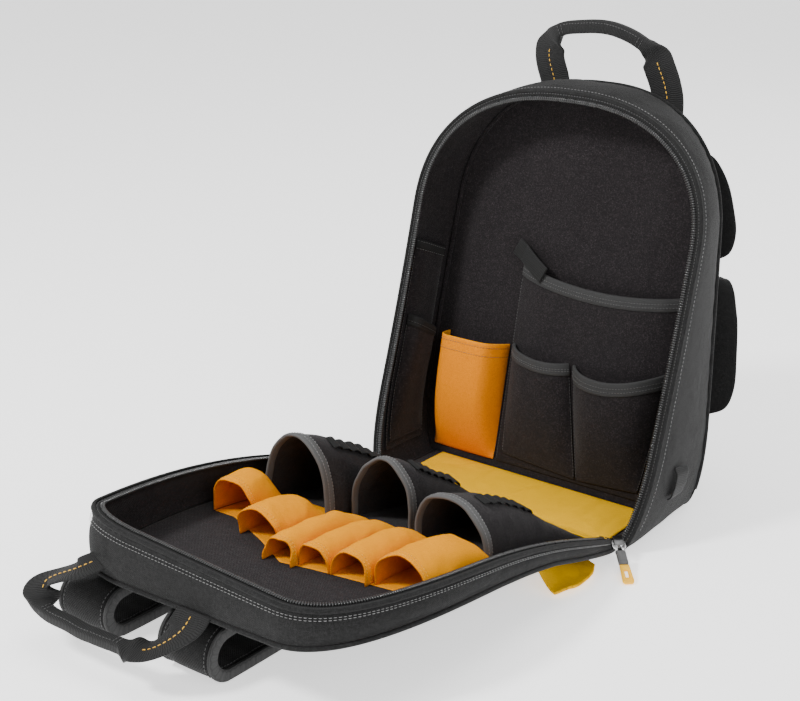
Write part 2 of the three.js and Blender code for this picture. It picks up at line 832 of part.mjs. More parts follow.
// Handles are webbing, doubled over and narrowed at the grip
function handlePath(points, face) {
  const curve = new THREE.CatmullRomCurve3(points);
  const steps = 22;
  return curve.getSpacedPoints(steps).map((at, i) => {
    const share = i / steps;
    const grip = THREE.MathUtils.smoothstep(Math.min(share, 1 - share), gripFrom, gripFull);
    const width = lerp(handleWidth, gripWidth, grip);
    return { at, face, width, thickness: lerp(webbingCloth, gripThickness, grip) };
  });
}

// The main half's handle: places across as shares of its reach, heights above the front as shares of its rise
const carryHandleShares = [
  { across: -0.84, up: -0.55 },
  { across: -0.87, up: -0.1 },
  { across: -0.98, up: 0.42 },
  { across: -0.86, up: 0.76 },
  { across: -0.42, up: 0.89 },
  { across: 0, up: 0.9 },
  { across: 0.38, up: 0.77 },
  { across: 0.66, up: 0.55 },
  { across: 0.78, up: 0.3 },
  { across: 0.91, up: -0.1 },
  { across: 0.93, up: -0.55 },
];

function carryHandle() {
  const seat = seamGap + panelCloth + restGap + webbingCloth / 2;
  const points = carryHandleShares.map((row) => {
    const z = frontHeight + row.up * handleRise;
    const x = row.across * handleReach;
    return vector(x, onFrontPanel(x, Math.min(z, frontHeight), seat).y, z);
  });
  return strap(handlePath(points, vector(0, 1, 0)), webbingSection);
}

// The laid half's own handle, at the end away from the hinge
const trayHandleShares = [
  { across: -0.8, out: 0.08, height: 0.72 },
  { across: -0.85, out: 0.38, height: 0.68 },
  { across: -1.0, out: 0.66, height: 0.54 },
  { across: -0.94, out: 0.9, height: 0.4 },
  { across: -0.7, out: 0.94, height: 0.36 },
  { across: -0.42, out: 0.9, height: 0.34 },
  { across: -0.17, out: 0.78, height: 0.37 },
  { across: -0.06, out: 0.46, height: 0.5 },
  { across: -0.06, out: 0.117, height: 0.62 },
];

function trayHandle() {
  const end = -trayY(trayLength);
  const rimEnd = trayRimHeight(0, trayLength);
  const points = trayHandleShares.map((row) => vector(
    row.across * trayHalfWidth, -(end + row.out * trayHandleReach), row.height * rimEnd,
  ));
  return strap(handlePath(points, vector(0, 0, 1)), webbingSection);
}

// Shoulder straps: sewn along the back panel near its crown, folded round and laid back under the tray
function shoulderStrap(centre) {
  const path = [];
  const add = (y, z, slope) => path.push({
    at: vector(centre, y, z), width: strapWidth, thickness: strapThickness, across: vector(1, 0, slope),
  });
  const lie = strapSeat + strapThickness / 2;
  for (const share of [0.66, 0.74, 0.82, 0.9, 0.95]) {
    const under = onTrayFloor(centre, share * trayLength, -panelCloth).z;
    const shallow = trayShallow * trayDepth * fromTable(wallShares, share);
    const slope = (shallow - trayTwist * share) / trayHalfWidth;
    add(trayY(share * trayLength), under - lie - strapDip * ((share - 0.66) / 0.29) ** 2, slope);
  }
  const turnTop = path[path.length - 1].at.z;
  const turnY = trayY(trayLength * 0.975);
  const middle = (turnTop + strapThickness / 2) / 2;
  const radius = (turnTop - strapThickness / 2) / 2;
  for (let i = 1; i <= 7; i++) {
    const turn = Math.PI / 2 + (Math.PI * i) / 8;
    add(turnY + strapBend * Math.cos(turn), middle + radius * Math.sin(turn), 0);
  }
  for (const share of strapLowerShares) add(trayY(share * trayLength), strapThickness / 2, 0);
  return path;
}

const strapLowerShares = [0.93, 0.7, 0.45, 0.24];
const strapCentres = [-0.098 * trayHalfWidth, -0.88 * trayHalfWidth];

// The strap's webbing leaves its padded end, passes through the adjuster and is sewn in at the hinge
function strapWeb(centre) {
  const thickness = webbingCloth * 0.6;
  const end = strapLowerShares[strapLowerShares.length - 1] * trayLength - restGap;
  const path = [0, 0.35, 0.7, 1].map((share) => {
    const lift = thickness / 2 + restGap * (1 - share) ** 2;
    const at = vector(centre, trayY(lerp(end, hingeHeight / 2, share)), lift);
    return { at, width: strapWebWidth, thickness, face: vector(0, 0, 1) };
  });
  return strap(path, webbingSection);
}

// The adjuster is a flat frame lying on the webbing
function strapBuckle(centre) {
  const halfWidth = strapWebWidth / 2 + restGap + buckleBar;
  const halfLength = 2 * buckleBar;
  const frame = new THREE.Shape();
  frame.moveTo(-halfWidth, -halfLength);
  frame.lineTo(halfWidth, -halfLength);
  frame.lineTo(halfWidth, halfLength);
  frame.lineTo(-halfWidth, halfLength);
  const slot = new THREE.Path();
  slot.moveTo(-strapWebWidth / 2, -halfLength + buckleBar);
  slot.lineTo(-strapWebWidth / 2, halfLength - buckleBar);
  slot.lineTo(strapWebWidth / 2, halfLength - buckleBar);
  slot.lineTo(strapWebWidth / 2, -halfLength + buckleBar);
  frame.holes.push(slot);
  const end = strapLowerShares[strapLowerShares.length - 1] * trayLength;
  const geometry = new THREE.ExtrudeGeometry(frame, { depth: buckleBar / 2, bevelEnabled: false });
  return geometry.translate(centre, trayY(end * 0.72), webbingCloth * 0.6 + restGap + seamGap);
}

// The loop of webbing sewn to the right of the gusset, low down
function sideLoop() {
  const index = lastPoint - wallIndexAt(0.4, sideLoopHeight);
  const low = lastPoint - wallIndexAt(0.4, sideLoopHeight - sideLoopLength);
  const path = [[0, 0], [0.15, 0.8], [0.5, 1], [0.85, 0.8], [1, 0]].map(([down, out]) => ({
    at: mainWall(lerp(index, low, down), 0.4, -(wallGap + webbingCloth / 2 + out * 2 * webbingCloth)),
    width: strapWebWidth, thickness: webbingCloth * 0.7, across: vector(0, 1, 0),
  }));
  return strap(path, webbingSection);
}

// The slider hangs at the foot of the near zip, with a wire bail through its arch and a tab on the bail
function zipSlider() {
  const side = new THREE.Shape();
  side.moveTo(-sliderLength / 2, 0);
  side.lineTo(sliderLength / 2, 0);
  side.lineTo(sliderLength / 2, sliderHeight * 0.4);
  side.lineTo(sliderLength * 0.35, sliderHeight);
  side.lineTo(-sliderLength * 0.35, sliderHeight);
  side.lineTo(-sliderLength / 2, sliderHeight * 0.4);
  const arch = new THREE.Path();
  const archHalf = sliderLength / 4;
  const archLow = bailSeat - bailWire - wallGap;
  const archTop = bailSeat + bailWire + restGap;
  arch.moveTo(-archHalf, archLow);
  arch.lineTo(-archHalf, archTop);
  arch.lineTo(archHalf, archTop);
  arch.lineTo(archHalf, archLow);
  side.holes.push(arch);
  const geometry = new THREE.ExtrudeGeometry(side, { depth: sliderWidth, bevelEnabled: false });
  return geometry.translate(0, 0, -sliderWidth / 2).rotateX(Math.PI / 2);
}

// The bail is a bent wire: round through the slider's arch, its two ends butted on the pull
function pullBail() {
  const halfWidth = sliderWidth / 2 + bailWire + restGap;
  const legs = pullWidth / 4;
  const bend = (sliderLength / 2 + bailLength) / 2;
  const points = [vector(bailLength, -legs, 0), vector(bend, -halfWidth, 0)];
  for (let i = 0; i <= 4; i++) {
    const turn = -Math.PI / 2 - (Math.PI * i) / 4;
    points.push(vector(bailWire * Math.cos(turn), halfWidth * Math.sin(turn), 0));
  }
  points.push(vector(bend, halfWidth, 0), vector(bailLength, legs, 0));
  return cordBody(points, bailWire, 6);
}

function pullPlate(length, startWidth, endWidth, thickness, slotLength) {
  const shape = new THREE.Shape();
  shape.moveTo(0, -startWidth / 2);
  shape.lineTo(length * 0.9, -endWidth / 2);
  shape.lineTo(length, -endWidth * 0.36);
  shape.lineTo(length, endWidth * 0.36);
  shape.lineTo(length * 0.9, endWidth / 2);
  shape.lineTo(0, startWidth / 2);
  if (slotLength > 0) {
    const slot = new THREE.Path();
    slot.moveTo(length * 0.3, -endWidth * 0.15);
    slot.lineTo(length * 0.3, endWidth * 0.15);
    slot.lineTo(length * 0.3 + slotLength, endWidth * 0.15);
    slot.lineTo(length * 0.3 + slotLength, -endWidth * 0.15);
    shape.holes.push(slot);
  }
  const geometry = new THREE.ExtrudeGeometry(shape, { depth: thickness, bevelEnabled: false });
  return geometry.translate(0, 0, -thickness / 2);
}

addPiece('main_gusset', mainGusset(), charcoal);
addPiece('base_panel', basePanel(), charcoal);
addPiece('front_panel', frontPanel(), charcoal);
addPiece('divider_panel', divider(), black);
const rimCoil = inset(rimOutline, zipInset).map((point) => onRim(point, tapeCloth / 2));
addPiece('main_zip_tape', rimStrip(rimOutline, (point) => onRim(point, 0), tapeCloth), zipBlack);
addPiece('main_zip_coil', cordBody(rimCoil, coilRadius, 6), zipBlack);
addPiece('floor_lining', floorLining(), yellow);
addPiece('hinge_wing', hingeWing(), yellow);
addPiece('tray_gusset', trayGusset(), charcoal);
addPiece('back_panel', backPanel(), charcoal);
const trayCoil = inset(trayOutline, zipInset).map((point) => onTrayRim(point, tapeCloth / 2));
addPiece('tray_zip_tape', rimStrip(trayOutline, (point) => onTrayRim(point, 0), -tapeCloth), zipBlack);
addPiece('tray_zip_coil', cordBody(trayCoil, coilRadius, 6), zipBlack);

const onDividerSeat = (x, z, off) => onDivider(x, z, restGap + off);
for (const [name, pocket, carrier, finish] of [
  ['tablet_pocket', tabletPocket, onDividerSeat, black],
  ['phone_pocket', phonePocket, onTabletPocket, black],
  ['meter_pocket', meterPocket, onTabletPocket, black],
  ['battery_pocket', batteryPocket, onDividerSeat, orange],
  ['wall_pocket_deep', deepWallPocket, onLeftWall, black],
  ['wall_pocket_short', shortWallPocket, onDeepWallPocket, black],
]) {
  addPiece(name, sheet(pocketGrid(pocket, carrier, 0, 1), 0, pocketCloth), finish);
}
const bindingOff = pocketCloth + restGap;
for (const [name, pocket, carrier] of [
  ['tablet_pocket_binding', tabletPocket, onDividerSeat],
  ['phone_pocket_binding', phonePocket, onTabletPocket],
  ['meter_pocket_binding', meterPocket, onTabletPocket],
]) {
  const grid = pocketGrid(pocket, carrier, bindingStart(pocket, bindingWidth), 1);
  addPiece(name, sheet([grid[0], grid[pocketRows]], bindingOff, bindingCloth), grey);
}
addPiece('corner_piping', cornerPiping(), black);
addPiece('pocket_tab', pocketTab(), webbingBlack);

sleeveRows.forEach((row, i) => {
  const grid = vaultGrid(sleeveSizes(row), 0, 1, sleeveFullness);
  addPiece(`tool_sleeve_${i + 1}`, sheet(grid, 0, -pocketCloth), orange);
});
toolPouchRows.forEach((row, i) => {
  const sizes = toolPouchSizes(row);
  const pouch = vaultGrid(sizes, 0, 1, toolPouchFullness);
  addPiece(`tool_pouch_${i + 1}`, sheet(pouch, 0, -pocketCloth), black);
  const bindingFrom = 1 - pouchBindingWidth / (sizes.mouth - sizes.back);
  const grid = vaultGrid(sizes, bindingFrom, 1, toolPouchFullness);
  const binding = sheet([grid[0], grid[pocketRows]], -bindingOff, -bindingCloth);
  addPiece(`tool_pouch_binding_${i + 1}`, binding, grey);
  addPiece(`bit_strip_${i + 1}`, bitStrip(row), webbingBlack);
});

addPiece('upper_flap', pouchFlap(upperFlapRows, upperFlapReach), charcoal);
addPiece('lower_flap', pouchFlap(lowerFlapRows, lowerFlapReach), charcoal);
for (const [name, pocket] of [['upper_pouch', upperPouch], ['lower_pouch', lowerPouch]]) {
  addPiece(name, sheet(pocketGrid(pocket, onFrontFace, 0, 1), 0, -pocketCloth), charcoal);
  const grid = pocketGrid(pocket, onFrontFace, bindingStart(pocket, pouchBindingWidth), 1);
  const binding = sheet([grid[0], grid[pocketRows]], -bindingOff, -bindingCloth);
  addPiece(`${name}_binding`, binding, grey);
}

addPiece('carry_handle', carryHandle(), webbingBlack);
addPiece('tray_handle', trayHandle(), webbingBlack);
strapCentres.forEach((centre, i) => {
  addPiece(`shoulder_strap_${i + 1}`, strap(shoulderStrap(centre), strapSection), black);
  addPiece(`strap_web_${i + 1}`, strapWeb(centre), webbingBlack);
  addPiece(`strap_buckle_${i + 1}`, strapBuckle(centre), plastic);
});
addPiece('side_loop', sideLoop(), webbingBlack);

// The slider and its pull hang out at the hinge's right corner, the pull's tip on the ground
const slider = new THREE.Group();
const sliderX = rimHalfWidth - footWidth + sliderLength / 2 - sliderInset;
slider.position.set(sliderX, -sliderWidth, sliderLift);
slider.rotation.z = radians(pullTurn);
backpack.add(slider);
const pull = new THREE.Group();
pull.position.z = bailSeat;
pull.rotation.y = radians(pullTip);
slider.add(pull);
const rubber = pullPlate(pullLength, pullWidth, pullWidth, pullThickness, 0);
const tab = pullPlate(tabLength, pullWidth, tabWidth, tabThickness, tabLength * 0.4);
const rubberFrom = bailLength + wallGap;
for (const [name, geometry, finish, parent, along] of [
  ['zip_slider', zipSlider(), metal, slider, 0],
  ['pull_bail', pullBail(), metal, pull, 0],
  ['zip_pull', rubber, grey, pull, rubberFrom],
  ['pull_tab', tab, yellow, pull, rubberFrom + pullLength + seamGap],
]) {
  const mesh = new THREE.Mesh(geometry, new THREE.MeshStandardMaterial(finish));
  mesh.name = name;
  mesh.position.x = along;
  parent.add(mesh);
}

export default backpack;
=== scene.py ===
import math

import bmesh
import bpy
import numpy as np
from mathutils import Matrix, Vector


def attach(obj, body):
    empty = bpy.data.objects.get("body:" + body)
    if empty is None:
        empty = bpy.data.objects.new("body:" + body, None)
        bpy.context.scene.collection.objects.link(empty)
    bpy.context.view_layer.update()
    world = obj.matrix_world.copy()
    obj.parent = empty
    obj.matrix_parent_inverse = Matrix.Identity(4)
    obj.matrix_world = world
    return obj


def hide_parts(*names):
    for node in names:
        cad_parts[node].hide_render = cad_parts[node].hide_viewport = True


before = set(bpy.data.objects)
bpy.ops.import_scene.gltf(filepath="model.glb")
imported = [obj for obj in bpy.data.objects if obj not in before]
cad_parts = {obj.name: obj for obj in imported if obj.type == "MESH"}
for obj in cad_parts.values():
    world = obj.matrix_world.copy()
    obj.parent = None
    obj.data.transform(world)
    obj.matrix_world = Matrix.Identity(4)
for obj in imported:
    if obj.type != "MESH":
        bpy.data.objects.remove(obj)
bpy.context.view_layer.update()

# Shapes are worked out in millimetres, in part.mjs's own frame, and written to the meshes in metres.
MM = 0.001
base_depth = 150


def add_object(name, data):
    made = bpy.data.objects.new(name, data)
    bpy.context.collection.objects.link(made)
    return made


# Camera, solved from the photograph
def make_camera():
    data = bpy.data.cameras.new("camera")
    data.sensor_width = 36
    focal_pixels, frame_width = 1557.35, 800
    data.lens = focal_pixels / frame_width * data.sensor_width
    camera = add_object("camera", data)
    yaw, pitch, roll = (math.radians(a) for a in (37.33, 19.08, 0.47))
    forward = Vector((-math.sin(yaw) * math.cos(pitch), math.cos(yaw) * math.cos(pitch), -math.sin(pitch)))
    level = Vector((math.cos(yaw), math.sin(yaw), 0))
    above = level.cross(forward)
    right = level * math.cos(roll) + above * math.sin(roll)
    up = -level * math.sin(roll) + above * math.cos(roll)
    turn = Matrix((right, up, -forward)).transposed().to_4x4()
    camera.matrix_world = Matrix.Translation((0.86221, -1.37381, 0.72607)) @ turn
    bpy.context.scene.camera = camera


make_camera()


# Smooth seeded noise on a lattice, for folds and unevenness
def lattice_value(cell, seed):
    mixed = cell[..., 0] * 73856093 ^ cell[..., 1] * 19349663 ^ cell[..., 2] * 83492791 ^ (seed * 2654435761)
    mixed = mixed & 0xFFFFFFFF
    mixed = (mixed ^ (mixed >> 15)) * 2246822519 & 0xFFFFFFFF
    mixed = (mixed ^ (mixed >> 13)) * 3266489917 & 0xFFFFFFFF
    return ((mixed ^ (mixed >> 16)) & 0xFFFFFF) / 0xFFFFFF


def noise(points, size, seed):
    at = np.asarray(points, float) / size
    cell = np.floor(at).astype(np.int64)
    part = at - cell
    part = part * part * part * (part * (part * 6 - 15) + 10)
    total = np.zeros(at.shape[:-1])
    for corner in np.ndindex(2, 2, 2):
        weight = np.ones(at.shape[:-1])
        for k in range(3):
            weight = weight * (part[..., k] if corner[k] else 1 - part[..., k])
        total += weight * lattice_value(cell + np.array(corner), seed)
    return 2 * total - 1


def folds(points, size, seed, stretch=(1, 1, 1)):
    """Soft ridges with sharper crests, from -1 to 1, longer along the axes with a small stretch."""
    at = np.asarray(points, float) * np.array(stretch)
    bent = at + size * 0.5 * np.stack([noise(at, size * 1.7, seed + k) for k in (11, 12, 13)], -1)
    ridge = 1 - 2 * np.abs(noise(bent, size, seed))
    return 0.65 * ridge + 0.35 * noise(at, size * 0.45, seed + 5)


# Meshes
def unit(v):
    return v / np.maximum(np.linalg.norm(v, axis=-1, keepdims=True), 1e-9)


def make_object(name, points, faces, materials, indexes=None, uv=None):
    mesh = bpy.data.meshes.new(name)
    placed = (np.asarray(points) - np.array([0, base_depth / 2, 0])) * MM
    mesh.from_pydata(placed.tolist(), [], [list(f) for f in faces])
    for material in materials:
        mesh.materials.append(material)
    if indexes is not None:
        mesh.polygons.foreach_set("material_index", np.asarray(indexes, np.int32))
    if uv is not None:
        layer = mesh.uv_layers.new(name="weave")
        loops = np.zeros(len(mesh.loops), np.int32)
        mesh.loops.foreach_get("vertex_index", loops)
        layer.data.foreach_set("uv", np.asarray(uv, float)[loops].ravel())
    mesh.polygons.foreach_set("use_smooth", [True] * len(mesh.polygons))
    mesh.update()
    return add_object(name, mesh)


def outward(points, faces):
    """The faces, turned round where the closed body that they make is inside out."""
    p = np.asarray(points)
    volume = 0.0
    for size in (3, 4, 6, 8, 10, 12, 16):
        group = np.array([f for f in faces if len(f) == size])
        for k in range(1, size - 1 if len(group) else 0):
            a, b, c = p[group[:, 0]], p[group[:, k]], p[group[:, k + 1]]
            volume += np.einsum("ij,ij->", a, np.cross(b, c))
    return faces if volume > 0 else [tuple(reversed(f)) for f in faces]


def grid_steps(grid):
    across = np.empty_like(grid)
    across[:, 1:-1] = grid[:, 2:] - grid[:, :-2]
    across[:, 0] = grid[:, 1] - grid[:, 0]
    across[:, -1] = grid[:, -1] - grid[:, -2]
    along = np.empty_like(grid)
    along[1:-1] = grid[2:] - grid[:-2]
    along[0] = grid[1] - grid[0]
    along[-1] = grid[-1] - grid[-2]
    return across, along


def grid_normals(grid):
    across, along = grid_steps(grid)
    return unit(np.cross(across, along))


def grid_uv(grid):
    """Centimetres along the cloth, from the middle column and the first row."""
    steps = np.linalg.norm(np.diff(grid, axis=1), axis=-1)
    u = np.concatenate([np.zeros((len(grid), 1)), np.cumsum(steps, 1)], 1)
    u -= u[:, u.shape[1] // 2][:, None]
    steps = np.linalg.norm(np.diff(grid, axis=0), axis=-1)
    v = np.concatenate([np.zeros((1, grid.shape[1])), np.cumsum(steps, 0)], 0)
    return np.stack([u, v], -1) / 10


def shell(name, first, second, front, back=None, uv=None):
    """A closed shell between two grids, with rounded edges. front finishes the first grid's side."""
    rows, columns = first.shape[:2]
    uv = grid_uv(first) if uv is None else uv
    count = rows * columns
    number = np.arange(count).reshape(rows, columns)
    a, b, c, d = number[:-1, :-1], number[1:, :-1], number[1:, 1:], number[:-1, 1:]
    quads = np.stack([a, b, c, d], -1).reshape(-1, 4)
    faces = quads.tolist() + (quads[:, ::-1] + count).tolist()
    border = np.concatenate([number[0, :-1], number[:-1, -1], number[-1, :0:-1], number[:0:-1, 0]])
    across, along = grid_steps((first + second) / 2)
    out = np.zeros_like(first)
    out[:, 0] -= unit(across[:, 0])
    out[:, -1] += unit(across[:, -1])
    out[0] -= unit(along[0])
    out[-1] += unit(along[-1])
    thick = np.linalg.norm(second - first, axis=-1, keepdims=True)
    middle = ((first + second) / 2 + unit(out) * thick * 0.35).reshape(-1, 3)[border]
    points = np.concatenate([first.reshape(-1, 3), second.reshape(-1, 3), middle])
    ring = 2 * count + np.arange(len(border))
    following = np.roll(border, -1)
    ring_after = np.roll(ring, -1)
    faces += np.stack([border, following, ring_after, ring], -1).tolist()
    faces += np.stack([ring, ring_after, following + count, border + count], -1).tolist()
    flat = uv.reshape(-1, 2)
    indexes = [0] * len(quads) + [1 if back else 0] * len(quads) + [0] * (2 * len(border))
    uv_all = np.concatenate([flat, flat, flat[border]])
    materials = [front, back] if back else [front]
    return make_object(name, points, outward(points, faces), materials, indexes, uv_all)


def sheet(name, grid, thickness, front, back=None):
    """A closed shell on one side of a grid, along its normals."""
    return shell(name, grid, grid + grid_normals(grid) * thickness, front, back)


def tube(name, path, across, face, width, thickness, material, sides=20, power=3.0):
    """A band or cord along a path: each place has an across, a face, a width and a thickness."""
    path = np.asarray(path, float)
    count = len(path)
    width = np.broadcast_to(np.asarray(width, float), (count,))
    thickness = np.broadcast_to(np.asarray(thickness, float), (count,))
    turn = 2 * np.pi * np.arange(sides) / sides
    wide = np.sign(np.cos(turn)) * np.abs(np.cos(turn)) ** (2 / power) / 2
    thick = np.sign(np.sin(turn)) * np.abs(np.sin(turn)) ** (2 / power) / 2
    points = (
        path[:, None]
        + across[:, None] * (wide[None, :, None] * width[:, None, None])
        + face[:, None] * (thick[None, :, None] * thickness[:, None, None])
    )
    number = np.arange(count * sides).reshape(count, sides)
    after = np.roll(number, -1, 1)
    faces = np.stack([number[:-1], after[:-1], after[1:], number[1:]], -1).reshape(-1, 4).tolist()
    faces += [tuple(number[0][::-1]), tuple(number[-1])]
    length = np.concatenate([[0], np.cumsum(np.linalg.norm(np.diff(path, axis=0), axis=-1))])
    u = wide[None] * width[:, None]
    v = np.broadcast_to(length[:, None], u.shape)
    uv = np.stack([u, v], -1).reshape(-1, 2) / 10
    flat = points.reshape(-1, 3)
    return make_object(name, flat, outward(flat, faces), [material], None, uv)


def path_frames(path, face=None, across=None):
    """The across and face of a band along a path, from the way that its face looks or its across runs."""
    along = unit(np.gradient(path, axis=0))
    if across is not None:
        face = unit(np.cross(np.broadcast_to(across, path.shape), along))
        return np.cross(along, face), face
    face = np.broadcast_to(np.asarray(face, float), path.shape)
    face = unit(face - along * np.sum(face * along, -1, keepdims=True))
    return np.cross(along, face), face


def spaced(path, step):
    """Places along a path, a step apart, with the path's index as a share at each."""
    length = np.concatenate([[0], np.cumsum(np.linalg.norm(np.diff(path, axis=0), axis=-1))])
    count = max(2, int(length[-1] / step))
    at = (np.arange(count) + 0.5) * length[-1] / count
    return np.interp(at, length, np.arange(len(path)))


def sample(values, at):
    low = np.clip(np.floor(at).astype(int), 0, len(values) - 2)
    part = (at - low)[:, None]
    return values[low] * (1 - part) + values[low + 1] * part


def bars(name, centre, along, across, face, length, width, height, material, dip=0.0):
    """Many small rounded bars, joined in one mesh: stitches and zip teeth."""
    turn = 2 * np.pi * np.arange(6) / 6
    template = []
    for place, size, drop in ((-0.5, 0.35, 1), (-0.3, 1, 0.2), (0.3, 1, 0.2), (0.5, 0.35, 1)):
        for t in turn:
            template.append((place, 0.5 * size * math.cos(t), 0.5 * size * math.sin(t), -drop * dip))
    template = np.array(template)
    points = (
        centre[:, None]
        + along[:, None] * template[None, :, 0, None] * length
        + across[:, None] * template[None, :, 1, None] * width
        + face[:, None] * (template[None, :, 2, None] * height + template[None, :, 3, None])
    )
    faces = []
    for ring in range(3):
        for side in range(6):
            a, b = ring * 6 + side, ring * 6 + (side + 1) % 6
            faces.append((a, b, b + 6, a + 6))
    caps = [tuple(reversed(range(6))), tuple(range(18, 24))]
    one = points[0]
    turned = outward(one - one.mean(0), faces + caps)
    every = [tuple(i + 24 * k for i in f) for k in range(len(centre)) for f in turned]
    place = np.tile(template[:, :2] * np.array([length, width]) / 10, (len(centre), 1))
    shift = np.repeat(np.arange(len(centre)) * 0.37, 24)
    place[:, 0] += shift
    return make_object(name, points.reshape(-1, 3), every, [material], None, place)


# The part's own sizes, as in part.mjs, in millimetres
seam_gap, rest_gap, wall_gap, rim_seam, tray_rim_seam, gusset_seat = 0.3, 0.6, 1.5, 0.9, 0.5, 2.3
gusset_cloth, panel_cloth, lining_thickness, pocket_cloth, webbing_cloth = 2.5, 3, 1.8, 1.6, 2.6
rim_half_width, rim_height, rim_crown_height, crown_flat = 180, 463, 148, 5
rim_lean, rim_bow = math.radians(15.75), 8
foot_width, foot_height = 24, 103
front_half_width, front_height, front_crown_height = 176, 445, 142
front_taper, front_lean, front_bulge, gusset_bulge, crown_power = 0.175, 0.12, 9, 5.5, 2.28
tray_half_width, tray_length, tray_run, hinge_height, tray_rise = 168, 450, 0.978, 12.7, 0.207
tray_bow, tray_twist, tray_depth, tray_flare, tray_shallow, tray_bulge = 29.8, 9.4, 45, 4, 0.3, 3
wall_table = ([0, 0.25, 0.5, 0.75, 1], [0.21, 0.53, 0.73, 0.87, 1])
tape_cloth, tape_inset, zip_inset = 1.2, 1, 9
divider_foot, divider_lean, lining_margin, lining_reach = 100, 0.2, 4, 10
# How far a binding's face lies off the grid of its cloth
tape_face = pocket_cloth + 1.05
# Steps along the foot, side and crown of an outline, and halvings in a search
FOOT, SIDE, CROWN = 14, 24, 48
HALVINGS = 24


def xyz(x, y, z):
    return np.stack(np.broadcast_arrays(np.asarray(x, float), np.asarray(y, float), np.asarray(z, float)), -1)


def half_outline(half_width, height, crown_height, flat):
    turn = np.pi / 2 * np.arange(FOOT + 1) / FOOT
    foot = np.stack([
        half_width - foot_width + foot_width * np.sin(turn),
        foot_height * (1 - np.cos(turn)),
    ], -1)
    shoulder = height - crown_height
    side = np.linspace(foot_height, shoulder, SIDE + 1)[1:-1]
    turn = np.pi / 2 * np.arange(CROWN + 1) / CROWN
    power = 2 / crown_power
    crown = np.stack([
        flat + (half_width - flat) * np.abs(np.cos(turn)) ** power,
        shoulder + crown_height * np.sin(turn) ** power,
    ], -1)
    return np.concatenate([foot, np.stack([np.full_like(side, half_width), side], -1), crown])


class Outline:
    def __init__(self, half_width, height, left, right):
        a = half_outline(half_width, height, *left) * np.array([-1, 1])
        b = half_outline(half_width, height, *right)[::-1]
        self.points = np.concatenate([a, b])
        along = unit(np.gradient(self.points, axis=0))
        self.inward = np.stack([along[:, 1], -along[:, 0]], -1)
        self.last = len(self.points) - 1
        self.half = len(a)

    def at(self, index):
        return self.take(self.points, index)

    def inward_at(self, index):
        return self.take(self.inward, index)

    def take(self, values, index):
        index = np.asarray(index, float)
        low = np.clip(np.floor(index).astype(int), 0, self.last - 1)
        part = (index - low)[..., None]
        return values[low] * (1 - part) + values[low + 1] * part

    def inset(self, distance):
        return self.points + self.inward * distance


rim = Outline(rim_half_width, rim_height, (rim_crown_height, crown_flat), (rim_crown_height, crown_flat))
front_crown = (front_crown_height, crown_flat)
front = Outline(front_half_width, front_height, front_crown, front_crown)
tray = Outline(tray_half_width, tray_length, (32, 92), (202, 73))
tray_foot = Outline(tray_half_width + tray_flare, tray_length + tray_flare, (32, 92), (202, 73))
last = rim.last


def on_rim(point, depth):
    share = point[..., 1] / rim_height
    back = point[..., 1] * math.sin(rim_lean) + rim_bow * 4 * share * (1 - share)
    return xyz(point[..., 0], back + depth, point[..., 1] * math.cos(rim_lean))


def front_narrowing(z):
    return 1 - front_taper * (z / front_height)


def main_wall(index, share, inward):
    index, share, inward = np.broadcast_arrays(*(np.asarray(v, float) for v in (index, share, inward)))
    rim_point = rim.at(index)
    a = on_rim(rim_point, tape_cloth + rim_seam)
    p = front.at(index)
    b = xyz(p[..., 0] * front_narrowing(p[..., 1]), base_depth + front_lean * p[..., 1], p[..., 1])
    lifted = np.minimum(1, rim_point[..., 1] / foot_height)
    push = inward - gusset_bulge * 4 * share * (1 - share) * lifted
    toward = rim.inward_at(index)
    return a + (b - a) * share[..., None] + xyz(toward[..., 0] * push, 0, toward[..., 1] * push)


def front_stand(x, z):
    up = np.clip(z / front_height, 0, 1)
    side = np.clip(x / front_half_width, -1, 1)
    return front_bulge * (1 - side * side) * 4 * up * (1 - up)


def on_front_panel(x, z, off):
    return xyz(x, base_depth + front_lean * z + front_stand(x, z) + off, z)


def on_front_face(x, z, off):
    return on_front_panel(x, z, seam_gap + panel_cloth + rest_gap + off)


def divider_y(z):
    return divider_foot + divider_lean * z


def divider_share(index):
    low, high = np.zeros(np.shape(index)), np.ones(np.shape(index))
    for _ in range(HALVINGS):
        middle = (low + high) / 2
        p = main_wall(index, middle, gusset_cloth + wall_gap)
        near = p[..., 1] < divider_y(p[..., 2])
        low, high = np.where(near, middle, low), np.where(near, high, middle)
    return low


def on_divider(x, z, off):
    lean = math.atan(divider_lean)
    return xyz(x, divider_y(z) - off * math.cos(lean), z + off * math.sin(lean))


def wall_index_at(share, z):
    low, high = np.zeros(np.shape(z)), np.full(np.shape(z), last / 2)
    for _ in range(HALVINGS):
        middle = (low + high) / 2
        under = main_wall(middle, share, 0)[..., 2] < z
        low, high = np.where(under, middle, low), np.where(under, high, middle)
    return low


# A row of a pocket: feet and mouth, left and right, how far it stands off, and how boxy it is
def pocket(left, right, foot, mouth, dip, depth, box, wide=1.0, tall=1.0):
    keys = ("left_foot", "left_mouth", "right_foot", "right_mouth")
    row = dict(zip(keys, [v * wide for v in (*left, *right)]))
    heights = ("foot_left", "foot_right", "mouth_left", "mouth_right")
    row.update(zip(heights, [v * tall for v in (*foot, *mouth)]))
    row.update(dip=dip * tall, depth=depth, box_across=box[0], box_up=box[1])
    return row


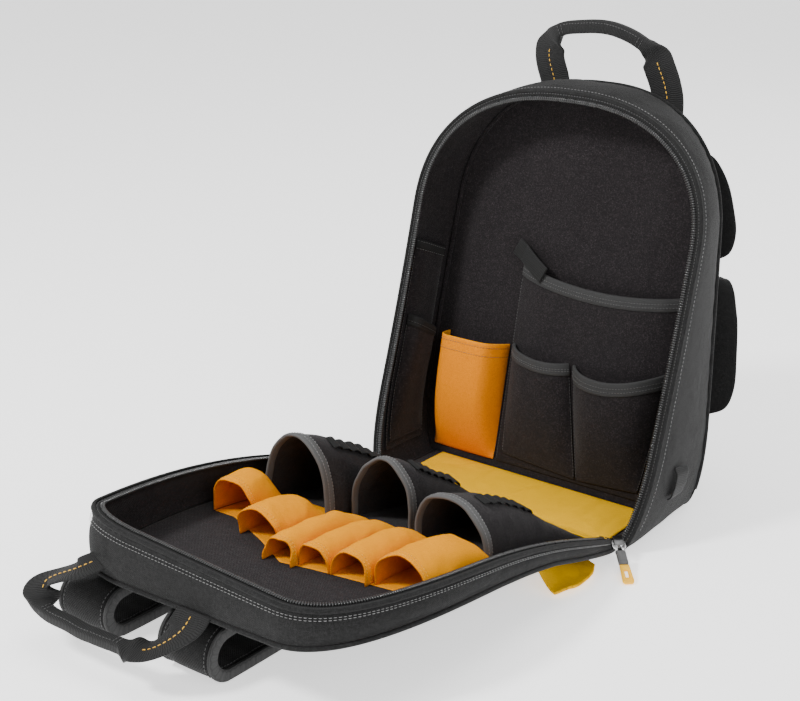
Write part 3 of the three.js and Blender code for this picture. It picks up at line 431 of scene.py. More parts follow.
def pocket_edges(row, across, up):
    left = row["left_foot"] + (row["left_mouth"] - row["left_foot"]) * up
    right = row["right_foot"] + (row["right_mouth"] - row["right_foot"]) * up
    mouth = row["mouth_left"] + (row["mouth_right"] - row["mouth_left"]) * across
    mouth = mouth - row["dip"] * 4 * across * (1 - across)
    foot = row["foot_left"] + (row["foot_right"] - row["foot_left"]) * across
    return left, right, foot, mouth


def pocket_stand(row, across, up):
    side = 1 - np.abs(2 * across - 1) ** row["box_across"]
    return row["depth"] * side * (1 - (1 - up) ** row["box_up"])


def stand_at(row, x, z):
    across, up = np.full(np.shape(x), 0.5), np.full(np.shape(x), 0.5)
    for _ in range(6):
        left, right, foot, mouth = pocket_edges(row, across, up)
        across = np.clip((x - left) / (right - left), 0, 1)
        up = np.clip((z - foot) / (mouth - foot), 0, 1)
    return pocket_stand(row, across, up)


def pocket_grid(row, carrier, low, high, rows=56, columns=64):
    up = np.linspace(low, high, rows)[:, None]
    across = ((1 - np.cos(np.pi * np.linspace(0, 1, columns))) / 2)[None]
    up, across = np.broadcast_arrays(up, across)
    left, right, foot, mouth = pocket_edges(row, across, up)
    return carrier(left + (right - left) * across, foot + (mouth - foot) * up, pocket_stand(row, across, up))


wide, tall = rim_half_width, front_height
tablet_pocket = pocket(
    (-0.35, -0.34), (0.73, 0.82), (0.03, 0.03), (0.54, 0.535), 0.03, 0.09 * base_depth, (4, 2), wide, tall)
phone_pocket = pocket(
    (-0.3, -0.32), (0.24, 0.11), (0.055, 0.04), (0.335, 0.32), 0.012, 0.095 * base_depth, (4, 2.4), wide, tall)
meter_pocket = pocket(
    (0.26, 0.16), (0.68, 0.77), (0.04, 0.05), (0.32, 0.35), 0.03, 0.13 * base_depth, (4, 2.4), wide, tall)
battery_pocket = pocket(
    (-0.84, -0.84), (-0.38, -0.38), (0.03, 0.03), (0.33, 0.33), 0, 0.23 * base_depth, (6, 4), wide, tall)
deep_wall_pocket = pocket((0.1, 0.1), (0.56, 0.56), (22.25, 22.25), (260.3, 242.5), 0, 6.75, (4, 3))
short_wall_pocket = pocket((0.12, 0.12), (0.54, 0.54), (31.15, 31.15), (175.8, 149.1), 0, 7.5, (4, 3))
wide = front_half_width
upper_pouch = pocket((-0.8, -0.8), (0.8, 0.8), (0.59, 0.59), (0.77, 0.77), 0, 24, (12, 1.3), wide, tall)
lower_pouch = pocket((-0.9, -0.9), (0.9, 0.9), (0.05, 0.05), (0.31, 0.31), 0, 44, (16, 1.3), wide, tall)


def on_divider_seat(x, z, off):
    return on_divider(x, z, rest_gap + off)


def on_tablet_pocket(x, z, off):
    return on_divider(x, z, rest_gap + stand_at(tablet_pocket, x, z) + 1.5 * pocket_cloth + off)


def on_left_wall(share, z, off):
    return main_wall(wall_index_at(share, z), share, gusset_cloth + wall_gap + off)


def on_deep_wall_pocket(share, z, off):
    return on_left_wall(share, z, rest_gap + stand_at(deep_wall_pocket, share, z) + 1.6 * pocket_cloth + off)


# The tray
def tray_rim_height(x, along):
    share = along / tray_length
    bowed = hinge_height + tray_rise * along + tray_bow * 4 * share * (1 - share)
    return bowed - tray_twist * (x / tray_half_width) * share


def tray_wall_height(x, along):
    share = np.clip(along / tray_length, 0, 1)
    shallow = tray_shallow * (x / tray_half_width) * np.minimum(1, 3 * share)
    return tray_depth * np.interp(share, *wall_table) * (1 - shallow)


def tray_y(along):
    return -seam_gap - tray_run * along


def on_tray_rim(point, drop):
    return xyz(point[..., 0], tray_y(point[..., 1]), tray_rim_height(point[..., 0], point[..., 1]) - drop)


def on_tray_floor(x, along, off):
    under = tray_rim_height(x, along) - tray_wall_height(x, along)
    return xyz(x, tray_y(along), under + panel_cloth + off)


def tray_wall(index, share, inward):
    index, share, inward = np.broadcast_arrays(*(np.asarray(v, float) for v in (index, share, inward)))
    point = tray.at(index)
    a = on_tray_rim(point, tape_cloth + tray_rim_seam)
    foot = tray_foot.at(index)
    b = on_tray_floor(foot[..., 0], foot[..., 1], gusset_seat)
    lifted = np.minimum(1, point[..., 1] / foot_height)
    push = inward - tray_bulge * 4 * share * (1 - share) * lifted
    toward = tray.inward_at(index)
    return a + (b - a) * share[..., None] + xyz(toward[..., 0] * push, -toward[..., 1] * push, 0)


def vault(centre, half_width, mouth, back, height, power):
    return dict(
        centre=centre * tray_half_width, half_width=half_width * tray_half_width,
        mouth=mouth * tray_length, back=back, height=height, power=power)


def sleeve(centre, half_width, mouth, length, height):
    return vault(centre, half_width, mouth, (mouth - length) * tray_length, height * 48, 5)


sleeves = [
    sleeve(-0.73, 0.155, 0.635, 0.125, 0.95), sleeve(-0.36, 0.15, 0.7, 0.185, 0.72),
    sleeve(-0.075, 0.095, 0.76, 0.305, 0.56), sleeve(0.14, 0.095, 0.745, 0.29, 0.54),
    sleeve(0.375, 0.115, 0.735, 0.27, 0.62), sleeve(0.7, 0.17, 0.72, 0.255, 0.78),
]
tool_pouches = [
    vault(-0.548, 0.24, 0.5, 15, 85, 1.35), vault(-0.03, 0.21, 0.435, 15, 0.86 * 85, 1.35),
    vault(0.51, 0.23, 0.45, 15, 0.7 * 85, 1.35),
]


def vault_grid(row, count):
    """The cloth of a sleeve or pouch, from its foot to its mouth and from one side to the other."""
    share, turn = np.linspace(0, 1, count)[:, None], np.linspace(0, np.pi, count)[None]
    share, turn = np.broadcast_arrays(share, turn)
    along = row["back"] + (row["mouth"] - row["back"]) * share
    x = row["centre"] - row["half_width"] * np.cos(turn)
    rise = row["height"] * np.maximum(np.sin(turn), 0) ** 0.85 * (1 - (1 - share) ** row["power"])
    return on_tray_floor(x, along, rest_gap + rise)


def catmull(points, count):
    """The centripetal curve through points, sampled evenly, as three.js does."""
    p = np.asarray(points, float)
    p = np.concatenate([[2 * p[0] - p[1]], p, [2 * p[-1] - p[-2]]])
    fine = []
    for i in range(1, len(p) - 2):
        x0, x1, x2, x3 = p[i - 1:i + 3]
        d0, d1, d2 = (max(np.linalg.norm(b - a), 1e-4) ** 0.5 for a, b in ((x0, x1), (x1, x2), (x2, x3)))
        t1 = ((x1 - x0) / d0 - (x2 - x0) / (d0 + d1) + (x2 - x1) / d1) * d1
        t2 = ((x2 - x1) / d1 - (x3 - x1) / (d1 + d2) + (x3 - x2) / d2) * d1
        t = np.linspace(0, 1, 60, endpoint=i == len(p) - 3)[:, None]
        square = (-3 * x1 + 3 * x2 - 2 * t1 - t2) * t * t
        fine.append(x1 + t1 * t + square + (2 * x1 - 2 * x2 + t1 + t2) * t ** 3)
    fine = np.concatenate(fine)
    length = np.concatenate([[0], np.cumsum(np.linalg.norm(np.diff(fine, axis=0), axis=-1))])
    at = np.interp(np.linspace(0, length[-1], count), length, np.arange(len(fine)))
    return sample(fine, at)


def smoothstep(x, low, high):
    t = np.clip((x - low) / (high - low), 0, 1)
    return t * t * (3 - 2 * t)


# Materials
class Nodes:
    """A few short calls for building a material's node tree."""

    def __init__(self, name):
        self.material = bpy.data.materials.new(name)
        self.material.use_nodes = True
        self.tree = self.material.node_tree
        self.shader = next(n for n in self.tree.nodes if n.type == "BSDF_PRINCIPLED")

    def add(self, kind, **inputs):
        node = self.tree.nodes.new(kind)
        for key, value in inputs.items():
            self.put(node.inputs[key.replace("_", " ")], value)
        return node

    def put(self, socket, value):
        if isinstance(value, bpy.types.NodeSocket):
            self.tree.links.new(value, socket)
        else:
            socket.default_value = value

    def math(self, operation, a, b=None, c=None):
        node = self.tree.nodes.new("ShaderNodeMath")
        node.operation = operation
        for socket, value in zip(node.inputs, (a, b, c)):
            if value is not None:
                self.put(socket, value)
        return node.outputs[0]

    def uv(self):
        return self.tree.nodes.new("ShaderNodeTexCoord").outputs["UV"]

    def place(self):
        return self.tree.nodes.new("ShaderNodeTexCoord").outputs["Object"]

    def mapped(self, vector, scale, location=(0, 0, 0)):
        node = self.add("ShaderNodeMapping", Vector=vector, Scale=scale, Location=location)
        return node.outputs[0]

    def noise(self, vector, scale, detail=2.0, roughness=0.5):
        node = self.add("ShaderNodeTexNoise", Vector=vector, Scale=scale, Detail=detail, Roughness=roughness)
        return node.outputs["Fac"]

    def mix(self, factor, a, b):
        node = self.tree.nodes.new("ShaderNodeMix")
        for socket, value in zip(node.inputs[:1] + [node.inputs[2], node.inputs[3]], (factor, a, b)):
            self.put(socket, value)
        return node.outputs[0]

    def multiplied(self, a, b):
        node = self.tree.nodes.new("ShaderNodeMix")
        node.data_type = "RGBA"
        node.blend_type = "MULTIPLY"
        for socket, value in zip((node.inputs[0], node.inputs[6], node.inputs[7]), (1.0, a, b)):
            self.put(socket, value)
        return node.outputs[2]

    def ramp(self, factor, stops):
        node = self.add("ShaderNodeValToRGB", Fac=factor)
        node.color_ramp.interpolation = "EASE"
        while len(node.color_ramp.elements) < len(stops):
            node.color_ramp.elements.new(0.5)
        for element, (at, colour) in zip(node.color_ramp.elements, stops):
            element.position = at
            element.color = (*colour, 1)
        return node.outputs["Color"]

    def level(self, factor, low, high):
        node = self.add("ShaderNodeMapRange", Value=factor)
        node.inputs["To Min"].default_value = low
        node.inputs["To Max"].default_value = high
        return node.outputs[0]

    def bump(self, height, strength, distance, under=None):
        node = self.add("ShaderNodeBump", Height=height, Strength=strength, Distance=distance)
        if under is not None:
            self.put(node.inputs["Normal"], under)
        return node.outputs[0]

    def finish(self, colour, roughness, normal=None, **fixed):
        self.put(self.shader.inputs["Base Color"], colour)
        self.put(self.shader.inputs["Roughness"], roughness)
        if normal is not None:
            self.put(self.shader.inputs["Normal"], normal)
        for key, value in fixed.items():
            self.shader.inputs[key.replace("_", " ")].default_value = value
        return self.material


def woven(name, stops, pitch, rough, bump, blotch=0.18, sheen=0.2, streak=0.3, gloss=0.15):
    """A plain weave in real threads: each runs over and under, with a shade of its own along its length."""
    n = Nodes(name)
    uv = n.uv()
    thread = n.mapped(uv, (10 / pitch, 10 / pitch, 1), (0, 0, 0.5))
    parts = n.add("ShaderNodeSeparateXYZ", Vector=thread)
    over = n.add("ShaderNodeTexChecker", Vector=thread, Scale=1.0).outputs["Fac"]
    warp = n.math("ABSOLUTE", n.math("SINE", n.math("MULTIPLY", parts.outputs[0], math.pi)))
    weft = n.math("ABSOLUTE", n.math("SINE", n.math("MULTIPLY", parts.outputs[1], math.pi)))
    height = n.mix(over, warp, weft)
    shade_warp = n.noise(n.mapped(thread, (1, streak, 1)), 0.9, 3.0, 0.7)
    shade_weft = n.noise(n.mapped(thread, (streak, 1, 1), (7, 3, 0)), 0.9, 3.0, 0.7)
    shade = n.mix(over, shade_warp, shade_weft)
    colour = n.ramp(shade, stops)
    # Painted shade: the colour is darkened where a thread dips under its neighbours.
    dark = n.level(height, 0.55, 1.0)
    wide = n.noise(n.place(), 9.0, 3.0, 0.55)
    tone = n.level(wide, 1 - blotch, 1 + blotch)
    colour = n.multiplied(colour, n.math("MULTIPLY", dark, tone))
    roughness = n.level(shade, rough + 0.08, rough - 0.08)
    creased = n.bump(n.noise(n.place(), 55.0, 4.0, 0.6), 0.5, 0.0018)
    normal = n.bump(height, bump, 0.0004, creased)
    return n.finish(colour, roughness, normal, Sheen_Weight=sheen, Sheen_Roughness=0.5,
                    Specular_IOR_Level=gloss)


def ribbed(name, stops, pitch, axis, rough, bump):
    """A tape or webbing: ribs along one axis of its own map, with finer threads across them."""
    n = Nodes(name)
    uv = n.uv()
    parts = n.add("ShaderNodeSeparateXYZ", Vector=n.mapped(uv, (10 / pitch, 10 / pitch, 1)))
    along, other = parts.outputs[axis], parts.outputs[1 - axis]
    slant = n.math("MULTIPLY_ADD", n.math("PINGPONG", other, 3.0), 0.12, along)
    rib = n.math("ABSOLUTE", n.math("SINE", n.math("MULTIPLY", slant, math.pi)))
    fine = n.math("ABSOLUTE", n.math("SINE", n.math("MULTIPLY", other, math.pi * 1.7)))
    height = n.math("MULTIPLY_ADD", fine, 0.2, rib)
    shade = n.noise(n.mapped(uv, (24, 24, 1)), 1.0, 3.0, 0.7)
    # Painted shade: the colour is darkened in the hollows between the ribs.
    colour = n.multiplied(n.ramp(shade, stops), n.level(height, 0.45, 1.0))
    worn = n.bump(n.noise(n.place(), 90.0, 3.0, 0.6), 0.3, 0.0006)
    normal = n.bump(height, bump, 0.0005, worn)
    roughness = n.level(shade, rough + 0.1, rough - 0.1)
    return n.finish(colour, roughness, normal, Sheen_Weight=0.03, Specular_IOR_Level=0.2)


def moulded(name, stops, rough, grain, scale=700.0, metallic=0.0, coat=0.0):
    n = Nodes(name)
    place = n.place()
    tone = n.noise(place, 60.0, 3.0, 0.6)
    normal = n.bump(n.noise(place, scale, 3.0, 0.6), grain, 0.0003)
    roughness = n.level(n.noise(place, 160.0, 2.0, 0.5), rough - 0.07, rough + 0.09)
    return n.finish(n.ramp(tone, stops), roughness, normal, Metallic=metallic, Coat_Weight=coat)


def grey(value):
    return (value, value, value)


outer_cloth = woven(
    "outer_cloth", [(0.2, grey(0.004)), (0.45, grey(0.012)), (0.62, grey(0.024)), (0.85, grey(0.06))],
    0.95, 0.85, 0.5, blotch=0.12, sheen=0.05, streak=0.3)
# The lining's ramp runs from the threads' own near-black tones up to a light brown-purple stop that is painted
# glint, sparkle put into the colour.
lining_cloth = woven(
    "lining_cloth",
    [(0.25, (0.003, 0.0025, 0.003)), (0.5, (0.011, 0.009, 0.01)), (0.8, (0.075, 0.06, 0.064))],
    1.0, 0.8, 0.5, blotch=0.15, sheen=0.08, streak=0.5)
yellow_cloth = woven(
    "yellow_cloth", [(0.25, (0.84, 0.42, 0.0)), (0.55, (0.96, 0.52, 0.0)), (0.85, (1.0, 0.58, 0.0))],
    0.8, 0.85, 0.35, blotch=0.05, sheen=0.0, gloss=0.0)
orange_cloth = woven(
    "orange_cloth", [(0.25, (0.86, 0.29, 0.0)), (0.55, (0.97, 0.37, 0.0)), (0.85, (1.0, 0.43, 0.0))],
    0.8, 0.85, 0.35, blotch=0.05, sheen=0.0, gloss=0.0)
# Deep orange: on the inner side of the tool sleeves it is painted shade, a darker copy of the orange cloth; it
# is also the battery pocket's outer face.
deep_orange_cloth = woven(
    "deep_orange_cloth", [(0.25, (0.75, 0.2, 0.0)), (0.55, (0.95, 0.29, 0.0)), (0.85, (1.0, 0.34, 0.0))],
    0.8, 0.85, 0.35, blotch=0.08, sheen=0.0, gloss=0.0)
strap_cloth = woven(
    "strap_cloth", [(0.25, grey(0.004)), (0.55, grey(0.012)), (0.85, grey(0.035))],
    1.3, 0.85, 0.6, blotch=0.12, sheen=0.1, streak=0.4)
binding_grey = ribbed(
    "binding_grey", [(0.3, grey(0.075)), (0.55, grey(0.12)), (0.8, grey(0.18))], 1.1, 0, 0.66, 0.5)
binding_dark = ribbed(
    "binding_dark", [(0.3, grey(0.022)), (0.55, grey(0.042)), (0.8, grey(0.075))], 1.1, 0, 0.7, 0.5)
webbing_black = ribbed(
    "webbing_black", [(0.3, grey(0.006)), (0.55, grey(0.017)), (0.8, grey(0.042))], 1.9, 1, 0.65, 0.8)
elastic_black = ribbed(
    "elastic_black", [(0.3, grey(0.006)), (0.55, grey(0.016)), (0.8, grey(0.035))], 1.2, 0, 0.72, 0.7)
tape_black = ribbed(
    "tape_black", [(0.3, grey(0.006)), (0.55, grey(0.013)), (0.8, grey(0.03))], 0.9, 0, 0.75, 0.5)
coil_black = moulded("coil_black", [(0.3, grey(0.016)), (0.7, grey(0.03))], 0.28, 0.1, coat=0.4)
buckle_black = moulded("buckle_black", [(0.3, grey(0.012)), (0.7, grey(0.02))], 0.45, 0.25)
slider_metal = moulded("slider_metal", [(0.3, grey(0.1)), (0.7, grey(0.19))], 0.36, 0.12, 500.0, 1.0)
bail_metal = moulded("bail_metal", [(0.3, grey(0.5)), (0.7, grey(0.66))], 0.26, 0.1, 500.0, 1.0)
pull_rubber = moulded("pull_rubber", [(0.3, grey(0.07)), (0.7, grey(0.11))], 0.7, 0.4)
pull_yellow = moulded("pull_yellow", [(0.3, (0.9, 0.45, 0.0)), (0.7, (1.0, 0.55, 0.0))], 0.45, 0.15)


def thread(name, stops):
    n = Nodes(name)
    twist = n.math("SINE", n.math("MULTIPLY", n.add("ShaderNodeSeparateXYZ", Vector=n.uv()).outputs[0], 60.0))
    colour = n.ramp(n.noise(n.place(), 400.0, 2.0), stops)
    roughness = n.level(n.noise(n.place(), 200.0, 2.0), 0.5, 0.7)
    return n.finish(colour, roughness, n.bump(twist, 0.4, 0.0002), Sheen_Weight=0.2)


thread_yellow = thread("thread_yellow", [(0.3, (0.65, 0.33, 0.02)), (0.7, (0.85, 0.5, 0.05))])
thread_pale = thread("thread_pale", [(0.3, grey(0.13)), (0.7, grey(0.23))])
thread_dark = thread("thread_dark", [(0.3, grey(0.03)), (0.7, grey(0.07))])
thread_orange = thread("thread_orange", [(0.3, (0.6, 0.26, 0.01)), (0.7, (0.8, 0.38, 0.02))])


def stand_for(piece, slot, *nodes):
    if nodes:
        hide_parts(*nodes)
    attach(piece, "root")
    return piece


# Building helpers for cloth pieces
def eased(grid_shape, edge=0.12, sides=(1, 1, 1, 1)):
    """1 in the middle of a cloth and 0 at its sewn edges: first row, last row, first column, last column."""
    r = np.linspace(0, 1, grid_shape[0])[:, None]
    c = np.linspace(0, 1, grid_shape[1])[None]
    value = np.ones(grid_shape[:2])
    for used, distance in zip(sides, (r, 1 - r, c, 1 - c)):
        if used:
            value = value * smoothstep(distance + 0 * value, 0, edge)
    return value


def rumpled(grid, amount, size, seed, stretch, edge, sides):
    lift = amount * folds(grid, size, seed, stretch) * eased(grid.shape, edge, sides)
    return grid + grid_normals(grid) * lift[..., None]


def panel_grid(outline, columns=96):
    left = outline.points[:outline.half]
    right = outline.points[::-1][:outline.half]
    t = np.linspace(0, 1, columns)[None, :, None]
    return left[:, None] * (1 - t) + right[:, None] * t


def edge_binding(name, grid, sign, material, *nodes):
    """A tape folded over the last row of a cloth's grid. sign is the way the cloth is lifted off the grid."""
    normal = grid_normals(grid) * sign
    up = unit(grid[-1] - grid[-3])
    gap, inside = 0.2, 0.8
    rows = [g + n * (pocket_cloth + gap) for g, n in zip(grid, normal)]
    for turn in np.linspace(0, np.pi, 7)[1:-1]:
        reach = pocket_cloth / 2 + gap
        middle = grid[-1] + normal[-1] * pocket_cloth / 2
        rows.append(middle + normal[-1] * math.cos(turn) * reach + up * math.sin(turn) * (reach + 0.3))
    for k in range(len(grid) - 1, int(len(grid) * (1 - inside)), -1):
        rows.append(grid[k] - normal[k] * gap)
    wrap = np.stack(rows)
    direction = np.sign(np.sum(grid_normals(wrap)[1] * normal[1]))
    piece = sheet(name, wrap, direction * 0.85, material)
    stand_for(piece, "binding_tape", *nodes)


def sewn(name, lines, material, slot, step=3.6, length=2.7, thick=0.75, lift=0.25):
    """Stitches along lines. Each line is its points and its normals."""
    centre, along, face = [], [], []
    for path, normal in lines:
        path = np.asarray(path, float)
        normal = np.broadcast_to(np.asarray(normal, float), path.shape)
        at = spaced(path, step)
        centre.append(sample(path, at))
        along.append(sample(unit(np.gradient(path, axis=0)), at))
        face.append(sample(normal, at))
    centre, along, face = (np.concatenate(v) for v in (centre, along, face))
    along, face = unit(along), unit(face)
    across = unit(np.cross(face, along))
    stitches = bars(name, centre + face * lift, along, across, face, length, thick, thick, material, dip=0.45)
    stand_for(stitches, slot)


def raised(points, faces, height):
    """A line for stitches: its points, lifted along the way that they face, and that way."""
    return points + faces * height, faces


def rows_within(grid, reach):
    """How many of a cloth's last rows lie within a reach of its mouth, measured near its middle."""
    height = np.linalg.norm(np.diff(grid, axis=0), axis=-1)[:, 32].cumsum()
    return int(np.sum(height > height[-1] - reach)) + 1


def webbing_band(name, path, frames, width, thickness, node):
    band = tube(name, path, *frames, width, thickness, webbing_black, sides=20, power=6)
    stand_for(band, "webbing", node)


# Main half
def make_main_half():
    index = np.linspace(0, last, 460)[None]
    share = np.linspace(0, 1, 44)[:, None]
    grid = main_wall(index, share, 0)
    normal = grid_normals(grid)
    puckers = 0.35 * np.sin(index * 2.1) * np.exp(-share * 18)
    puckers = puckers + 0.35 * np.sin(index * 1.9) * np.exp(-(1 - share) * 18)
    soft = folds(grid, 62, 3, (1, 0.6, 0.8)) * 1.5 + folds(grid, 21, 8) * 0.35
    grid = grid + normal * (soft * eased(grid.shape, 0.2, (1, 1, 0, 0)) + puckers)[..., None]
    cloth = sheet("main_gusset_cloth", grid, -gusset_cloth, outer_cloth, lining_cloth)
    stand_for(cloth, "outer_cloth", "main_gusset")

    margin = foot_width + gusset_cloth + seam_gap + tape_inset
    y = np.linspace(0, base_depth, 30)[:, None]
    reach = rim_half_width - margin + (front_half_width - rim_half_width) * y / base_depth
    x = np.linspace(-1, 1, 60)[None] * reach
    top, under = xyz(x, y, panel_cloth), xyz(x, y, 0)
    uv = np.stack(np.broadcast_arrays(x / 10, y / 10), -1)
    stand_for(shell("base_cloth", top, under, lining_cloth, outer_cloth, uv), "outer_cloth", "base_panel")

    flat = panel_grid(front)
    x, z = flat[..., 0] * front_narrowing(flat[..., 1]), flat[..., 1]
    inner, outer = on_front_panel(x, z, seam_gap), on_front_panel(x, z, seam_gap + panel_cloth)
    move = 1.1 * folds(outer, 70, 21) * eased(outer.shape, 0.12)
    outer = outer + xyz(0, 1, 0) * move[..., None]
    cloth = shell("front_cloth", outer, inner, outer_cloth, lining_cloth, flat / 10)
    stand_for(cloth, "outer_cloth", "front_panel")

    # The seam where the gusset meets the front panel is bound with a welt
    path = on_front_panel(front.points[:, 0] * front_narrowing(front.points[:, 1]), front.points[:, 1], 0.6)
    middle = np.array([0, 0, front_height * 0.45])
    side = unit((path - middle) * np.array([1, 0, 1]))
    across, face = path_frames(path, face=np.array([0, 1.0, 0]))
    path = path + side * 0.2
    welt = tube("front_welt", path[6:-6], across[6:-6], face[6:-6], 5.0, 5.0, outer_cloth, sides=14, power=2)
    stand_for(welt, "outer_cloth")

    index = np.arange(last + 1).astype(float)
    edge = main_wall(index, divider_share(index), gusset_cloth + wall_gap)
    half = rim.half
    left, right = edge[:half][:, [0, 2]], edge[::-1][:half][:, [0, 2]]
    left[:, 1] = np.maximum(left[:, 1], panel_cloth + seam_gap)
    right[:, 1] = np.maximum(right[:, 1], panel_cloth + seam_gap)
    t = np.linspace(0, 1, 110)[None, :, None]
    flat = left[:, None] * (1 - t) + right[:, None] * t
    x, z = flat[..., 0], flat[..., 1]
    near, far = xyz(x, divider_y(z), z), xyz(x, divider_y(z) + lining_thickness, z)
    free = np.clip((z - 250) / 60, 0, 1) + np.clip((-x - 70) / 20, 0, 1) * np.clip((z - 160) / 30, 0, 1)
    free = np.clip(free, 0, 1) * eased(near.shape, 0.1)
    lift = (folds(near, 88, 31, (1, 1, 0.5)) * 3.4 + folds(near, 26, 33) * 0.3) * free
    near, far = near + xyz(0, -1, 0) * lift[..., None], far + xyz(0, -1, 0) * lift[..., None]
    cloth = shell("divider_cloth", near, far, lining_cloth, lining_cloth, flat / 10)
    stand_for(cloth, "lining_cloth", "divider_panel")

    index = np.linspace(FOOT * 0.75, last - FOOT * 0.75, 420)
    inward = gusset_cloth + rest_gap + 2.2 + seam_gap
    point = main_wall(index, divider_share(index), inward)
    path = on_divider(point[..., 0], point[..., 2], 2.5)
    across, face = path_frames(path, face=np.array([0, 1.0, 0]))
    piping = tube("divider_piping", path, across, face, 4.4, 4.4, lining_cloth, sides=12, power=2)
    stand_for(piping, "lining_cloth", "corner_piping")


def make_zip(name, outline, place, node):
    """The tape, the folded hem over its outer edge, the coil and the stitches of one half of the zip."""
    def line(distance, depth):
        return place(outline.inset(distance), depth)

    insets = (tape_inset, 3.5, 6.5, 9.4)
    tape = shell(f"{node}_tape_cloth", np.stack([line(d, 0) for d in insets]),
                 np.stack([line(d, tape_cloth) for d in insets]), tape_black)
    stand_for(tape, "zip_tape", f"{node}_tape")
    path = line(zip_inset, -0.8)
    inside = unit(line(zip_inset + 2, -0.8) - path)
    face = unit(np.cross(unit(np.gradient(path, axis=0)), inside))
    core = tube(f"{name}_core", path, inside, face, 2.6, 1.6, tape_black, sides=10, power=2)
    stand_for(core, "zip_coil", f"{node}_coil")
    at = spaced(path, 2.5)
    along = unit(sample(np.gradient(path, axis=0), at))
    teeth = bars(f"{name}_teeth", sample(path, at), sample(inside, at), along, sample(face, at),
                 5.2, 1.75, 2.9, coil_black)
    stand_for(teeth, "zip_coil")
    folded = ((-0.9, 1.7), (-1.2, 0.4), (-0.8, -0.7), (0.6, -1.2), (2.2, -1.0))
    hem = np.stack([line(distance, depth) for distance, depth in folded])
    direction = np.sign(np.sum(grid_normals(hem)[3] * face))
    stand_for(sheet(f"{name}_hem", hem, direction * 0.8, outer_cloth), "outer_cloth")
    stitches = [(line(3.6, -0.1), -face)]
    sewn(f"{name}_stitches", stitches, thread_dark, "zip_tape", step=3.4, length=2.5, lift=0.1)


def make_zips():
    make_zip("main_zip", rim, on_rim, "main_zip")
    make_zip("tray_zip", tray, on_tray_rim, "tray_zip")


# Floor lining, and the wing at the hinge
def make_floor():
    half = tray_half_width - foot_width - gusset_cloth - lining_margin
    back = divider_foot - seam_gap - lining_thickness
    x = np.linspace(-half, half, 130)[None]
    rows = [on_tray_floor(x[0], share * lining_reach, rest_gap) for share in np.linspace(1, 0.2, 6)]
    for share in np.linspace(0.06, 1, 46):
        puff = 4 * math.sin(math.pi * math.sqrt(share))
        rows.append(xyz(x[0], share * back, panel_cloth + seam_gap + puff * (1 - (x[0] / half) ** 6)))
    grid = np.stack(rows)
    lift = np.abs(folds(grid, 48, 41, (1.0, 0.55, 1))) * 2.6 + folds(grid, 17, 43) * 0.25 + 0.3
    grid = grid + xyz(0, 0, 1) * (lift * eased(grid.shape, 0.1, (0, 1, 1, 1)))[..., None]
    piece = shell("floor_cloth", grid + xyz(0, 0, 1) * lining_thickness, grid, yellow_cloth, yellow_cloth)
    stand_for(piece, "yellow_cloth", "floor_lining")

    rows = []
    start, end = tray_length * 0.09, tray_length * 0.26
    for along in np.linspace(0, 1, 30):
        distance = start + (end - start) * along
        under = on_tray_floor(np.array(0.75 * tray_half_width), np.array(distance), 0)[2] - panel_cloth
        top = max(0, under - rest_gap - 4 - 4)
        row = []
        for out in np.linspace(0, 1, 26):
            reach = tray_half_width * (0.74 + (1 - 0.06 * (2 * along - 1) ** 2 - 0.74) * out)
            drop = top * (1 - math.sin(math.pi / 2 * out))
            row.append((reach, float(tray_y(distance + 8 * out)), drop + 4))
        rows.append(row)
    grid = np.array(rows)
    grid = rumpled(grid, 1.3, 20, 52, (0.7, 1.2, 1), 0.15, (0, 0, 1, 0))
    wing = stand_for(sheet("wing_cloth", grid, -3.4, yellow_cloth), "yellow_cloth", "hinge_wing")


# Pockets of the main half
def make_pockets():
    rows = (
        ("tablet_pocket", tablet_pocket, on_divider_seat, lining_cloth, binding_dark, 1.0, 61),
        ("phone_pocket", phone_pocket, on_tablet_pocket, lining_cloth, binding_dark, 0.8, 62),
        ("meter_pocket", meter_pocket, on_tablet_pocket, lining_cloth, binding_dark, 0.8, 63),
        ("battery_pocket", battery_pocket, on_divider_seat, orange_cloth, None, 0.5, 64),
        ("wall_pocket_deep", deep_wall_pocket, on_left_wall, lining_cloth, tape_black, 0.25, 65),
        ("wall_pocket_short", short_wall_pocket, on_deep_wall_pocket, lining_cloth, tape_black, 0.25, 66),
    )
    lines = []
    for name, row, carrier, cloth, tape, amount, seed in rows:
        grid = pocket_grid(row, carrier, 0, 1)
        sides = (1, 0, 1, 1)
        grid = rumpled(grid, amount, 34, seed, (1, 1, 0.6), 0.16, sides)
        back = deep_orange_cloth if cloth is orange_cloth else lining_cloth
        slot = "orange_cloth" if cloth is orange_cloth else "lining_cloth"
        stand_for(sheet(f"{name}_cloth", grid, pocket_cloth, cloth, back), slot, name)
        normal = grid_normals(grid)
        if tape:
            count = rows_within(grid, 8.0 if "wall" in name else 11.0)
            top = grid[-count:]
            nodes = () if "wall" in name else (f"{name}_binding",)
            edge_binding(f"{name}_tape", top, 1, tape, *nodes)
            for k in (2, count - 3):
                lines.append(raised(top[k][2:-2], normal[k - count][2:-2], tape_face))
        else:
            for k in (-3, -7):
                lines.append(raised(grid[k][2:-2], normal[k][2:-2], pocket_cloth))
        for c in (1, -2):
            lines.append(raised(grid[1:-4, c], normal[1:-4, c], pocket_cloth))
    sewn("pocket_stitches", lines, thread_dark, "lining_cloth", step=3.4, length=2.5, thick=0.7)


